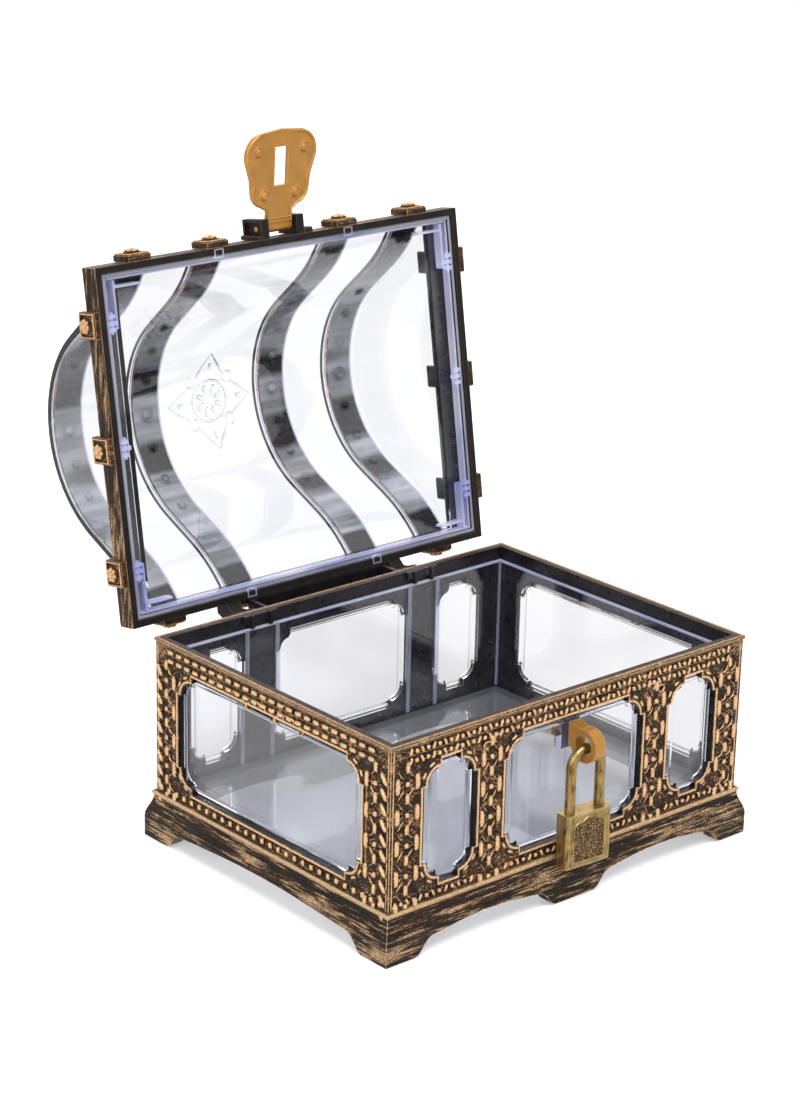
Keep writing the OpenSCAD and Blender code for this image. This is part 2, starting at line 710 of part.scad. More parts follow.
// An ear beside the hasp's barrel, with a pocket that shows the pin's end
module hasp_ear(side) {
    x0 = barrel_w / 2 + side_gap;
    pocket = 1.2;
    frame = 1.1;
    color("#4a3c30") opened() mirror([side > 0 ? 0 : 1, 0, 0]) difference() {
        translate([x0, rim_front - ear_out, boss_lo]) cube([ear_t, ear_out, ear_h]);
        translate([x0 - cut, hasp_y, hasp_z]) rotate([0, 90, 0])
            cylinder(r = hasp_pin_r + run_gap, h = ear_t + 2 * cut);
        translate([x0 + ear_t - pocket, rim_front - ear_out + frame, boss_lo + frame])
            cube([pocket + cut, ear_out - 2 * frame, ear_h - 2 * frame]);
    }
}

module left_hasp_ear() { hasp_ear(-1); }
module right_hasp_ear() { hasp_ear(1); }

module hasp_pin() {
    long = barrel_w + 2 * (side_gap + ear_t - 0.6);
    color("#c8924a") opened() translate([-long / 2, hasp_y, hasp_z]) rotate([0, 90, 0])
        cylinder(r = hasp_pin_r, h = long);
}

// Hasp plate seen flat, hanging: two shoulders under a faint peak, two lobes and a neck
module hasp_outline() {
    down = 17;
    edge = [shoulder_x + shoulder_r * cos(down), shoulder_y + shoulder_r * sin(down)];
    kink_y = hasp_len * -0.504;
    polygon([[-shoulder_x, shoulder_y - shoulder_r], [0, -hasp_len], [shoulder_x, shoulder_y - shoulder_r],
        edge, [kink_x, kink_y], [lobe_x + hasp_lobe_r, lobe_y], [neck_w / 2, lobe_y],
        [neck_w / 2, 0], [-neck_w / 2, 0], [-neck_w / 2, lobe_y],
        [-lobe_x - hasp_lobe_r, lobe_y], [-kink_x, kink_y], [-edge[0], edge[1]]]);
    for (s = [-1, 1]) {
        translate([s * shoulder_x, shoulder_y]) circle(shoulder_r);
        translate([s * lobe_x, lobe_y]) circle(hasp_lobe_r);
    }
}

// The hasp is drawn hanging shut, then turned up about its pin
module hasp() {
    head_dome = [hasp_w * 0.32, hasp_len * -0.783];
    lobe_dome = [lobe_x * 1.03, lobe_y + hasp_dome_r];
    color("#c8924a") opened() translate([0, hasp_y, hasp_z]) rotate([-hasp_open, 0, 0]) difference() {
        union() {
            translate([0, plate_shift + hasp_t / 2, 0]) rotate([90, 0, 0]) linear_extrude(hasp_t)
                hasp_outline();
            translate([-barrel_w / 2, 0, 0]) rotate([0, 90, 0]) cylinder(r = barrel_r, h = barrel_w);
            for (s = [-1, 1], p = [head_dome, lobe_dome]) {
                translate([s * p[0], plate_shift - hasp_t / 2, p[1]]) rotate([90, 0, 0])
                    dome(hasp_dome_r, hasp_dome_h);
                translate([s * p[0], plate_shift + hasp_t / 2, p[1]]) rotate([-90, 0, 0])
                    dome(hasp_dome_r, hasp_back_dome_h);
            }
        }
        translate([-slot_w / 2, -barrel_r - cut, -slot_far])
            cube([slot_w, 2 * (barrel_r + cut), slot_far - slot_near]);
        translate([-barrel_w, 0, 0]) rotate([0, 90, 0]) cylinder(r = hasp_pin_r + run_gap, h = 2 * barrel_w);
    }
}

// Places what is drawn about the lock's upright middle on its staple
module hung() {
    translate([lock_x, eye_y, 0]) rotate(lock_turn) children();
}

// Shackle: two legs and a round bow, the left leg held in the case
module shackle() {
    bow_z = crown_z - leg_x;
    notch_deep = 0.8;
    color("#a98a3c") hung() {
        translate([0, 0, bow_z]) rotate([90, 0, 0]) rotate_extrude(angle = 180)
            translate([leg_x, 0]) circle(wire_r);
        translate([-leg_x, 0, case_top - heel_deep]) cylinder(r = wire_r, h = bow_z - case_top + heel_deep);
        difference() {
            translate([leg_x, 0, case_top - toe_deep]) cylinder(r = wire_r, h = bow_z - case_top + toe_deep);
            translate([leg_x - wire_r - cut, -wire_r, bolt_z - 1.1 * bolt_r])
                cube([notch_deep + cut, 2 * wire_r, 2.2 * bolt_r]);
        }
    }
}

// Flat outline of a pebbled panel: straight sides and a top of three lobes
module panel_shape(inset) {
    w = panel_w / 2 - inset;
    lobe = panel_w / 5;
    side_y = panel_h / 2 - lobe - 1.5;
    translate([-w, -panel_h / 2 + inset]) square([2 * w, panel_h / 2 + side_y - inset]);
    for (s = [-1, 1]) translate([s * (panel_w / 2 - lobe), side_y]) circle(lobe - inset);
    translate([0, side_y + 0.9]) circle(lobe + 0.6 - inset);
}

module lock_case() {
    mid_z = case_lo + case_h / 2;
    bore = wire_r + run_gap;
    color("#a98a3c") hung() difference() {
        translate([0, 0, case_lo]) linear_extrude(case_h) {
            square([case_w - 2 * case_r, case_t], center = true);
            square([case_w, case_t - 2 * case_r], center = true);
            for (sx = [-1, 1], sy = [-1, 1])
                translate([sx * (case_w / 2 - case_r), sy * (case_t / 2 - case_r)]) circle(case_r);
        }
        translate([-leg_x, 0, case_top - heel_deep - fit_gap]) cylinder(r = bore, h = heel_deep + cut);
        translate([leg_x, 0, case_top - toe_deep - fit_gap]) cylinder(r = bore, h = toe_deep + cut);
        on_front(-case_t / 2 - cut, panel_deep + cut) translate([0, mid_z]) panel_shape(0);
        on_front(case_t / 2 - panel_deep, panel_deep + cut) translate([0, mid_z]) panel_shape(0);
        translate([0, 0, case_lo - cut]) cylinder(r = plug_r + run_gap, h = plug_len + cap_t + fit_gap + cut);
        translate([0, 0, case_lo + cap_t + groove_lo]) cylinder(r = plug_r + 0.6, h = groove_h);
        translate([-cap_reach, -cap_d / 2, case_lo - cut]) cube([2 * cap_reach, cap_d, cap_t + cut]);
        translate([0.5, 0, bolt_z]) rotate([0, 90, 0]) cylinder(r = bolt_r + run_gap, h = leg_x);
    }
}

module lock_panel() {
    translate([0, 0, case_lo + case_h / 2]) on_front(panel_deep - panel_t - case_t / 2, panel_t)
        panel_shape(run_gap);
}

module front_lock_panel() { color("#5e4a2e") hung() lock_panel(); }
module back_lock_panel() { color("#5e4a2e") hung() mirror([0, 1, 0]) lock_panel(); }

// Plate under the case with the key's hole, let in flush
module lock_bottom_cap() {
    x = cap_reach - run_gap;
    y = cap_d / 2 - run_gap;
    color("#8d7434") hung() translate([0, 0, case_lo]) difference() {
        translate([-x, -y, 0]) cube([2 * x, 2 * y, cap_t - run_gap]);
        translate([0, 0, -cut]) cylinder(r = plug_r - 0.5, h = cap_t + 2 * cut);
    }
}

// Key plug with its keyway and the groove for its clip
module key_plug() {
    keyway = [0.8, 2.8, 7];
    color("#c0a455") hung() translate([0, 0, case_lo + cap_t]) difference() {
        cylinder(r = plug_r, h = plug_len);
        translate([-keyway[0] / 2, -keyway[1] / 2, -cut]) cube([keyway[0], keyway[1], keyway[2] + cut]);
        translate([0, 0, groove_lo + fit_gap]) difference() {
            cylinder(r = plug_r + cut, h = groove_h - 2 * fit_gap);
            translate([0, 0, -cut]) cylinder(r = plug_r - 0.6, h = groove_h + 2 * cut);
        }
    }
}

// Spring clip in the groove at the top of the plug
module plug_clip() {
    base = case_lo + cap_t + groove_lo + fit_gap + 2 * run_gap;
    color("#8d8f92") hung() translate([0, 0, base]) difference() {
        cylinder(r = plug_r + 0.4, h = 0.5);
        translate([0, 0, -cut]) cylinder(r = plug_r - 0.55, h = 3 * cut);
        translate([0, -0.8, -cut]) cube([2 * plug_r, 1.6, 3 * cut]);
    }
}

// Spring bolt beside the short leg, drawn clear of the leg's notch
module latch_bolt() {
    start = 1.2;
    color("#8d8f92") hung() translate([start, 0, bolt_z]) rotate([0, 90, 0])
        cylinder(r = bolt_r, h = leg_x - wire_r - start - 0.4);
}

plinth();
front_wall();
back_wall();
left_wall();
right_wall();
clear_tray();
hinge_shelf();
left_hinge_bracket();
right_hinge_bracket();
left_hinge_pin();
right_hinge_pin();
staple();
staple_block();
staple_nut();
lid_rim();
left_hinge_arm();
right_hinge_arm();
clear_vault();
outer_left_strap();
inner_left_strap();
inner_right_strap();
outer_right_strap();
strap_rivets();
front_bosses();
rear_bosses();
left_end_bosses();
right_end_bosses();
boss_rivets();
left_hasp_ear();
right_hasp_ear();
hasp_pin();
hasp();
shackle();
lock_case();
front_lock_panel();
back_lock_panel();
lock_bottom_cap();
key_plug();
plug_clip();
latch_bolt();
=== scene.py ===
import math
from functools import partial

import bmesh
import bpy
from mathutils import Matrix, Vector


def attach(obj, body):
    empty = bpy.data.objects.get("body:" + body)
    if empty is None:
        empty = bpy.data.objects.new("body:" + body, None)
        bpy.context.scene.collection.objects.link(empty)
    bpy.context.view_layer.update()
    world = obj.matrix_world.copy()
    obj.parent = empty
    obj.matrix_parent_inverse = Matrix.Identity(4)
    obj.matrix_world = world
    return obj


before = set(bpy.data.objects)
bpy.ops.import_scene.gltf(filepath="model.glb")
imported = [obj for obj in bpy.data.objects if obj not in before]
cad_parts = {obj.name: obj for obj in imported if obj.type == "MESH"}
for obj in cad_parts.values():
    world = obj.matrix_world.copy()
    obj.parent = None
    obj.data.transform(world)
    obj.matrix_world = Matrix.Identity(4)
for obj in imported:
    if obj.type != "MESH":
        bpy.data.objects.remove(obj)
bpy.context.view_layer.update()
MM = 0.001
SIDES = (-1, 1)
CORNERS = ((-1, -1), (-1, 1), (1, -1), (1, 1))

# Sizes of the chest in millimetres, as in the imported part. The lid's and the hasp's are given with
# both shut, and heights on the lid count from the rim's mating face at LID_Z.
BASE_W, BASE_D, BASE_H = 182.0, 139.4, 83.9
PLINTH_H, WALL_T, PILLAR_X, PILLAR_W = 19.6, 3.2, 42.7, 14.0
MID_WINDOW_W, SIDE_WINDOW_W, SIDE_WINDOW_X = 71.4, 26.3, 62.85
END_WINDOW_W, WINDOW_Z, WINDOW_H = 109.4, 49.85, 48.9
TOP_RAIL, BOTTOM_RAIL, LIP_W, LIP_OUT = 9.6, 5.8, 1.3, 0.5
SCROLL_W, SCROLL_H, SCROLL_STEP = 8.2, 9.0, 2.0
TRAY_W, TRAY_D, TRAY_T, TRAY_FLOOR, TRAY_TOP = 175.2, 132.6, 1.5, 22.0, 78.3
HINGE_Y, HINGE_Z, LID_OPEN = 76.4, 78.4, 99.2
SHELF_HALF, SHELF_TOP, SHELF_BACK = 35.4, 82.8, 82.8
LID_Z, RIM_W, RIM_D, RIM_H, RIM_T = 84.2, 184.0, 141.4, 8.7, 2.8
VAULT_HALF_Y, VAULT_T, VAULT_RISE = 65.95, 1.5, 62.0
CROWN_R, FLANK, FOOT, SWEEP_R = 47.0, 57.0, 34.0, 61.0
INNER_STRAP_X, OUTER_STRAP_X, STRAP_W = 33.0, 70.6, 12.4
BOSS_W, BOSS_T, END_BOSS_PITCH = 10.5, 2.4, 48.7
BOSS_HALF, BOSS_Z, REAR_BOSS_HALF, REAR_BOSS_Z = 5.2, 5.4, 4.5, 6.1
HASP_OUT, HASP_UP, HASP_OPEN, HASP_FACE = 4.0, 4.9, 78.3, 1.4
# across and up from the hasp's pin: its outline's arcs with radii, its studs, its slot's edge
HASP_LEN, NECK_W, SHOULDER, LOBE = 40.1, 13.0, (8.7, -30, 9.2), (7.6, -15.6, 7.0)
STUDS, SLOT_FRAME = ((11.46, -31.4), (7.8, -13.6)), (0, -25.15, 3.7, 8.15)
EAR_X, EAR_OUT = 10.75, 7.9
LOCK_X, LOCK_Y, LOCK_TURN = -0.6, -76.8, -3.5
CASE_W, CASE_H, CASE_T, CASE_Z, PANEL_W, PANEL_H = 22.2, 21.8, 7.2, 16.5, 15.2, 17.8

WALL_FACES = (("front", 0, BASE_D / 2), ("right", 90, BASE_W / 2), ("back", 180, BASE_D / 2),
              ("left", -90, BASE_W / 2))
STRAP_PLACES = (("outer_left", -OUTER_STRAP_X), ("inner_left", -INNER_STRAP_X),
                ("inner_right", INNER_STRAP_X), ("outer_right", OUTER_STRAP_X))
END_BOSS_PLACES = (-END_BOSS_PITCH, 0, END_BOSS_PITCH)

# Camera: azimuth, elevation and roll in degrees, aim and distance in metres, and its focal length
# in pixels of an image 1096 high
CAMERA_TURNS, SENSOR_MM = (-41.36, 19.174, 1.265), 36
CAMERA_AIM, CAMERA_AWAY = (-0.027764, 0, 0.126048), 1.07487
FOCAL_PX, IMAGE_H_PX = 2843.508, 1096

# Lamps: name, place, aim and width in metres, power in watts
LAMPS = (("key", (-0.3, -0.7, 1.5), (0, 0, 0.05), 1.1, 17),
         ("fill", (-1.4, -0.4, 0.8), (0, 0, 0.1), 1.2, 6),
         ("rim", (0.7, 1.2, 1.2), (0, 0, 0.15), 1.0, 9))
ROOM_LIGHT = 0.5  # the white room's strength as a light; 1 is white to the eye
FLOOR_HALF, FLOOR_DROP = 6, 0.0002

# Settings of nodes: a Mix of colours, whose inputs are sockets 6 and 7, and an eased MapRange
OF_COLOURS = {"data_type": "RGBA", "out": 2}
SMOOTH = {"interpolation_type": "SMOOTHSTEP"}


def linear(hexa):
    """sRGB hex colour as linear RGBA."""
    rgb = [int(hexa[i:i + 2], 16) / 255 for i in (1, 3, 5)]
    return [c / 12.92 if c <= 0.04045 else ((c + 0.055) / 1.055) ** 2.4 for c in rgb] + [1.0]


def add(tree, kind, *inputs, out=0, **settings):
    """Adds one node, with its operation after its kind, and returns its output out. Inputs fill
    its sockets in turn, and a (socket, value) pair names its own."""
    kind, *operation = kind.split()
    node = tree.nodes.new("ShaderNode" + kind)
    for name in operation:
        node.operation = name
    for key, value in settings.items():
        setattr(node, key, value)
    for turn, value in enumerate(inputs):
        socket, value = value if isinstance(value, tuple) else (turn, value)
        if isinstance(value, bpy.types.NodeSocket):
            tree.links.new(value, node.inputs[socket])
        else:
            node.inputs[socket].default_value = value
    return node.outputs[out] if node.outputs else None


def blank(owner):
    """Empties a material's or world's tree and returns add for it."""
    owner.use_nodes = True
    owner.node_tree.nodes.clear()
    return partial(add, owner.node_tree)


def new_material(name, recipe, *args, **kwargs):
    """A material whose shader is what the recipe makes."""
    mat = bpy.data.materials.new(name)
    node = blank(mat)
    node("OutputMaterial", recipe(node, *args, **kwargs))
    return mat


# --- camera and light


def put(name, data):
    """Adds an object to the scene."""
    obj = bpy.data.objects.new(name, data)
    bpy.context.scene.collection.objects.link(obj)
    return obj


def set_camera():
    azimuth, elevation, roll = (math.radians(a) for a in CAMERA_TURNS)
    turn = (Matrix.Rotation(azimuth, 4, "Z") @ Matrix.Rotation(math.pi / 2 - elevation, 4, "X")
            @ Matrix.Rotation(roll, 4, "Z"))
    place = Vector(CAMERA_AIM) + turn @ Vector((0, 0, CAMERA_AWAY))
    data = bpy.data.cameras.new("camera")
    data.sensor_width, data.lens = SENSOR_MM, FOCAL_PX / IMAGE_H_PX * SENSOR_MM
    data.clip_start, data.clip_end = 0.05, 50
    camera = put("camera", data)
    camera.matrix_world = Matrix.Translation(place) @ turn
    bpy.context.scene.camera = camera


def set_studio():
    """A white room that lights softly and shows white to the eye, in mirrors and through glass."""
    scene = bpy.context.scene
    scene.view_settings.view_transform = "Standard"
    scene.world = bpy.data.worlds.new("studio")
    node = blank(scene.world)
    rays = node("LightPath").node.outputs
    seen = node("Math MAXIMUM", rays["Is Camera Ray"], rays["Is Glossy Ray"])
    seen = node("Math MAXIMUM", seen, rays["Is Transmission Ray"])
    level = node("MapRange", seen, ("To Min", ROOM_LIGHT))
    node("OutputWorld", node("Background", linear("#ffffff"), level))
    for name, place, aim, width, power in LAMPS:
        data = bpy.data.lights.new(name, "AREA")
        data.shape, data.size, data.energy = "DISK", width, power
        lamp = put(name, data)
        lamp.location = place
        lamp.rotation_mode = "QUATERNION"
        lamp.rotation_quaternion = (Vector(place) - Vector(aim)).to_track_quat("Z", "Y")


def white_paper(node):
    """White paper sweep: matt, and lifted to white for the eye, so that only the shadow shows."""
    away = node("VectorMath LENGTH", node("TexCoord", out="Object"), out="Value")
    lift = node("Math MULTIPLY", node("LightPath", out="Is Camera Ray"),
                node("MapRange", away, 0.25, 1.6, 0.36, 0.56))
    grain = node("TexNoise", ("Scale", 60.0), ("Detail", 3.0))
    tone = node("Mix", (0, grain), (6, linear("#f4f4f4")), (7, linear("#f8f8f8")), **OF_COLOURS)
    return node("AddShader", node("BsdfDiffuse", tone), node("Emission", ("Strength", lift)))


def lay_floor():
    h = FLOOR_HALF
    mesh = bpy.data.meshes.new("floor")
    mesh.from_pydata([(-h, -h, 0), (h, -h, 0), (h, h, 0), (-h, h, 0)], [], [(0, 1, 2, 3)])
    mesh.materials.append(new_material("white_paper_floor", white_paper))
    floor = put("floor", mesh)
    floor.location = (0, 0, -FLOOR_DROP)


# --- finishes


def mottle(node, size_mm, detail=3.0, roughness=0.5, place=None):
    """Cloudy pattern whose patches are about size_mm across."""
    if place is None:
        place = node("TexCoord", out="Object")
    return node("TexNoise", ("Vector", place), ("Scale", 1 / (size_mm * MM)), ("Detail", detail),
                ("Roughness", roughness))


def two_tone(node, pattern, first, second, low=0.3, high=0.7):
    """Colour that goes from the first hex to the second as the pattern goes from low to high."""
    share = node("MapRange", pattern, low, high)
    return node("Mix", (0, share), (6, linear(first)), (7, linear(second)), **OF_COLOURS)


def strokes(node, length_mm, width_mm, run="walls", lean=0.0, detail=6.0):
    """Brush marks that run level along walls (or leaning by lean), along straps, or round the
    open lid's rim."""
    x, y, z = node("SeparateXYZ", node("TexCoord", out="Object")).node.outputs
    long, fine = length_mm * MM, width_mm * MM
    if run == "straps":
        runs = (((x, fine), (y, long), (z, long)),)
    elif run == "rim":
        runs = ((x, long), (y, fine), (z, fine)), ((x, fine), (y, fine), (z, long))
    else:
        along, across = node("Math ADD", x, y), z
        if lean:
            across = node("Math SUBTRACT", z, node("Math MULTIPLY", along, lean))
            along = node("Math ADD", along, node("Math MULTIPLY", z, lean))
        runs = (((along, long), (node("Math SUBTRACT", x, y), long * 3), (across, fine)),)
    marks = []
    for axes in runs:
        place = node("CombineXYZ", *(node("Math DIVIDE", axis, size) for axis, size in axes))
        marks.append(node("TexNoise", ("Vector", place), ("Scale", 1.0), ("Detail", detail),
                          ("Roughness", 0.72)))
    if len(marks) == 1:
        return marks[0]
    # the rim's ends are brushed along its depth, its front and back along its width
    sideways = node("SeparateXYZ", node("TexCoord", out="Normal"))
    is_end = node("Math GREATER_THAN", node("Math ABSOLUTE", sideways), 0.5)
    return node("Mix", (0, is_end), (2, marks[0]), (3, marks[1]))


def edge_wear(node, radius_mm):
    """1 on edges sharper than the radius, 0 on flats."""
    eased = node("Bevel", ("Radius", radius_mm * MM), samples=4)
    likeness = node("VectorMath DOT_PRODUCT", eased, node("NewGeometry", out="Normal"), out="Value")
    return node("MapRange", likeness, 0.995, 0.86, **SMOOTH)


def surface(node, colour, rough, height, depth_mm, *sockets):
    """The finish's shader, with bump whose full range stands for depth_mm."""
    bump = node("Bump", ("Height", height), ("Distance", depth_mm * MM))
    return node("BsdfPrincipled", ("Base Color", colour), ("Roughness", rough), ("Normal", bump),
                *sockets)


def solid_band(node, speck, low, high):
    """1 between two heights in mm, a little broken up by specks."""
    z = node("SeparateXYZ", node("TexCoord", out="Object"), out=2)
    above = node("MapRange", z, (low - 0.2) * MM, (low + 0.2) * MM)
    below = node("MapRange", z, high * MM, (high - 0.3) * MM)
    within = node("Math MULTIPLY", above, below)
    return node("Math MULTIPLY", within, node("MapRange", speck, 0.3, 0.42))


def crest_line(node, speck, mask, line_mm=0.75):
    """Mask whose share on the wall tops is a line along their outer edge instead."""
    x, y, z = node("SeparateXYZ", node("TexCoord", out="Object")).node.outputs
    beyond = [node("Math SUBTRACT", node("Math ABSOLUTE", along), (full / 2 - line_mm) * MM)
              for along, full in ((x, BASE_W), (y, BASE_D))]
    on_top = node("Math GREATER_THAN", z, (BASE_H - 0.1) * MM)
    line = node("MapRange", node("Math MAXIMUM", *beyond), -0.1 * MM, 0.1 * MM)
    line = node("Math MULTIPLY", line, node("MapRange", speck, 0.4, 0.55))
    return node("Mix", (0, on_top), (2, mask), (3, line))


def dry_brushed_bronze(node, dark, gold, brush, mark, run="walls", film=0.0, band=None,
                       filigree=False):
    """Moulded ABS sprayed near-black brown, then dry-brushed with copper gold: the brush catches
    relief and edges and leaves streaks on flats. brush is how much it leaves there, mark the
    strokes' length and width in mm, film how much brown lies under the strokes, partly thin
    brown paint and partly painted sheen, and band the heights between which the gold lies solid.
    filigree adds crossing scratches and the gold line on the wall tops. On the relief the gold
    keeps to the upper part and grows paler towards the crests, so that the dark lower sides are
    partly painted shade and the pale crests partly painted highlight."""
    length, width = mark
    raised = node("Attribute", attribute_name="raised", out="Fac")
    speck = mottle(node, 0.5, detail=4.0, roughness=0.7)
    cluster = strokes(node, length * 2, width * 5, run)
    cluster = node("MapRange", cluster, 0.35, 0.65, -0.13, 0.13)
    broad = node("Math ADD", strokes(node, length, width, run), cluster)
    thin = node("Math ADD", strokes(node, length * 0.35, width * 0.5, run),
                node("Math MULTIPLY", cluster, 0.7))

    # where the gold lies: on edges, on the upper part of relief, and in strokes on the flats; the
    # dark lower sides of the relief are partly painted shade
    worn = node("Math MULTIPLY", edge_wear(node, 0.5), node("MapRange", speck, 0.3, 0.5))
    relief_gold_and_painted_shade = node("Math ADD", raised, node("MapRange", speck, 0.3, 0.7, -0.3, 0.3))
    broad_from, thin_from = 0.725 - brush * 0.2, 0.75 - brush * 0.15
    on_flats = node("Math MAXIMUM", node("MapRange", broad, broad_from, broad_from + 0.02),
                    node("MapRange", thin, thin_from, thin_from + 0.02))
    on_flats = node("Math MULTIPLY", on_flats, node("MapRange", speck, 0.36, 0.52))
    if filigree:
        for lean, scratch in ((0.8, 5.0), (-1.1, 4.2)):
            line = strokes(node, scratch, 0.62, lean=lean, detail=1.5)
            on_flats = node("Math MAXIMUM", on_flats, node("MapRange", line, 0.66, 0.69))
    if band:
        on_flats = node("Math MAXIMUM", on_flats, solid_band(node, speck, *band))
    mask = node("Math MAXIMUM", node("MapRange", relief_gold_and_painted_shade, 0.38, 0.62),
                node("Math MAXIMUM", worn, on_flats), use_clamp=True)
    if filigree:
        mask = crest_line(node, speck, mask)

    ground = two_tone(node, mottle(node, 6.0), *dark)
    # brown laid over the ground under the broad strokes: partly thin brown paint, partly painted
    # sheen on the black plastic
    film_and_sheen_cover = node("Math MULTIPLY", node("MapRange", broad, 0.4, 0.56, **SMOOTH), film)
    ground = node("Mix", (0, film_and_sheen_cover), (6, ground), (7, linear("#6e4f34")), **OF_COLOURS)
    # gold paler where the relief stands high and on worn edges, partly as painted highlight; the
    # specks vary it at random
    gold_tone_and_painted_highlight = node("Math MULTIPLY", node("Math MAXIMUM", raised, worn), 0.4)
    gold_tone_and_painted_highlight = node("Math ADD", gold_tone_and_painted_highlight, node("MapRange", speck, 0.34, 0.66, 0.0, 0.8), use_clamp=True)
    metal = node("Mix", (0, gold_tone_and_painted_highlight), (6, linear(gold[0])), (7, linear(gold[1])), **OF_COLOURS)
    colour = node("Mix", (0, mask), (6, ground), (7, metal), **OF_COLOURS)
    rough = node("Math ADD", node("MapRange", mask, 0, 1, 0.5, 0.3),
                 node("MapRange", speck, 0.2, 0.8, -0.07, 0.07))
    height = node("Math ADD", node("Math MULTIPLY", speck, 0.55),
                  node("Math MULTIPLY", mask, 0.45))
    return surface(node, colour, rough, height, 0.2, ("IOR", 1.5), ("Specular IOR Level", 0.16),
                   ("Metallic", node("Math MULTIPLY", mask, 0.4)))


def moulded_charcoal(node, tones, rough=0.3, bands=None):
    """Bare charcoal ABS straight from a polished mould: smooth and slightly glossy, a little
    cloudy. bands adds paler stretches that cross the piece, as (colour, length in mm): a
    painted sheen, where the bright room would be reflected in the glossy plastic."""
    fine = mottle(node, 3.0, detail=2.0)
    colour = two_tone(node, mottle(node, 9.0), *tones)
    # painted sheen: paler stretches standing in for reflections of the bright room
    if bands:
        sheen_colour, length = bands
        crossing = node("Mapping", node("TexCoord", out="Object"), ("Scale", (0.1, 1.0, 1.0)))
        stretch = mottle(node, length, detail=0.0, place=crossing)
        inner = mottle(node, length * 0.3, detail=2.0, place=crossing)
        share = node("Math MULTIPLY", node("MapRange", stretch, 0.46, 0.55, **SMOOTH),
                     node("MapRange", inner, 0.35, 0.62, 0.25, 0.9))
        colour = node("Mix", (0, share), (6, colour), (7, linear(sheen_colour)), **OF_COLOURS)
    rough = node("MapRange", fine, 0.3, 0.7, rough - 0.06, rough + 0.08)
    return surface(node, colour, rough, fine, 0.01, ("IOR", 1.5), ("Specular IOR Level", 0.3))


def clear_styrene(node, tints, rough=0.02, clear=1.0):
    """Injection-moulded clear polystyrene: bright and hard, with a faint lavender cast and slight
    flow ripples. clear under 1 stands for edges and flanges, where light gathers and glows."""
    flow = mottle(node, 30.0, detail=1.0)
    colour = two_tone(node, flow, *tints)
    rough = node("MapRange", flow, 0.3, 0.7, rough, rough + 0.03)
    shader = surface(node, colour, rough, flow, 0.04, ("Transmission Weight", clear), ("IOR", 1.5))
    is_shadow = node("LightPath", out="Is Shadow Ray")  # the lamps shine through it
    return node("MixShader", is_shadow, shader, node("BsdfTransparent", colour))


def gold_paint(node):
    """Satin ochre-gold lacquer over moulded ABS: even, softly metallic, paler where handling has
    rubbed the edges."""
    fine = mottle(node, 0.35)
    rub = node("Math MULTIPLY", edge_wear(node, 0.6), node("MapRange", fine, 0.3, 0.6, 0.4, 1.0))
    rub = node("Math MULTIPLY", rub, 0.55)
    colour = two_tone(node, mottle(node, 7.0), "#b07a30", "#c08a40")
    colour = node("Mix", (0, rub), (6, colour), (7, linear("#f0c88a")), **OF_COLOURS)
    rough = node("MapRange", fine, 0.3, 0.7, 0.27, 0.36)
    return surface(node, colour, rough, fine, 0.03, ("Metallic", 0.35), ("IOR", 1.5))


def antique_brass(node):
    """Brass plate, darkened and then buffed along its length: bright edges, and brown streaks
    that are partly patina and partly painted reflection of darker surroundings."""
    upright = node("Mapping", node("TexCoord", out="Object"), ("Scale", (1, 1, 0.16)))
    streak = mottle(node, 0.9, detail=4.0, roughness=0.65, place=upright)
    rub = node("Math MULTIPLY", edge_wear(node, 0.5), node("MapRange", streak, 0.3, 0.6, 0.35, 1.0))
    rub = node("Math MULTIPLY", rub, 0.7)
    # dark streaks: partly patina, partly painted reflection of darker surroundings on the polished
    # case
    patina_and_dark_reflection = node("Math MULTIPLY", node("MapRange", streak, 0.42, 0.62),
                  node("MapRange", mottle(node, 4.5), 0.35, 0.6))
    colour = node("Mix", (0, patina_and_dark_reflection), (6, linear("#a88d58")), (7, linear("#4e3820")), **OF_COLOURS)
    colour = node("Mix", (0, rub), (6, colour), (7, linear("#f2deb0")), **OF_COLOURS)
    rough = node("MapRange", streak, 0.3, 0.7, 0.24, 0.38)
    return surface(node, colour, rough, mottle(node, 0.25, detail=2.0), 0.02, ("Metallic", 0.85))


def pebbled_brass(node, pebble_mm=0.7):
    """Brass panel etched with a pebble grain, darkened, with its high points rubbed bright. The
    real grain is about 0.5 mm across; it is drawn coarser so that it still shows from arm's
    length."""
    pebble = node("TexVoronoi", ("Vector", node("TexCoord", out="Object")),
                  ("Scale", 1 / (pebble_mm * MM)))
    top = node("MapRange", pebble, 0.75, 0.1, **SMOOTH)
    colour = two_tone(node, top, "#503c26", "#c2a370", 0.35, 0.95)
    rough = node("MapRange", top, 0, 1, 0.5, 0.32)
    return surface(node, colour, rough, top, 0.35, ("Metallic", 0.8))


def drawn_steel(node):
    """Bright drawn steel wire, with a little grey tarnish."""
    fine = mottle(node, 0.3)
    colour = two_tone(node, mottle(node, 3.0, detail=2.0), "#8d8f93", "#b5b7ba")
    rough = node("MapRange", fine, 0.3, 0.7, 0.25, 0.4)
    return surface(node, colour, rough, fine, 0.02, ("Metallic", 1.0))


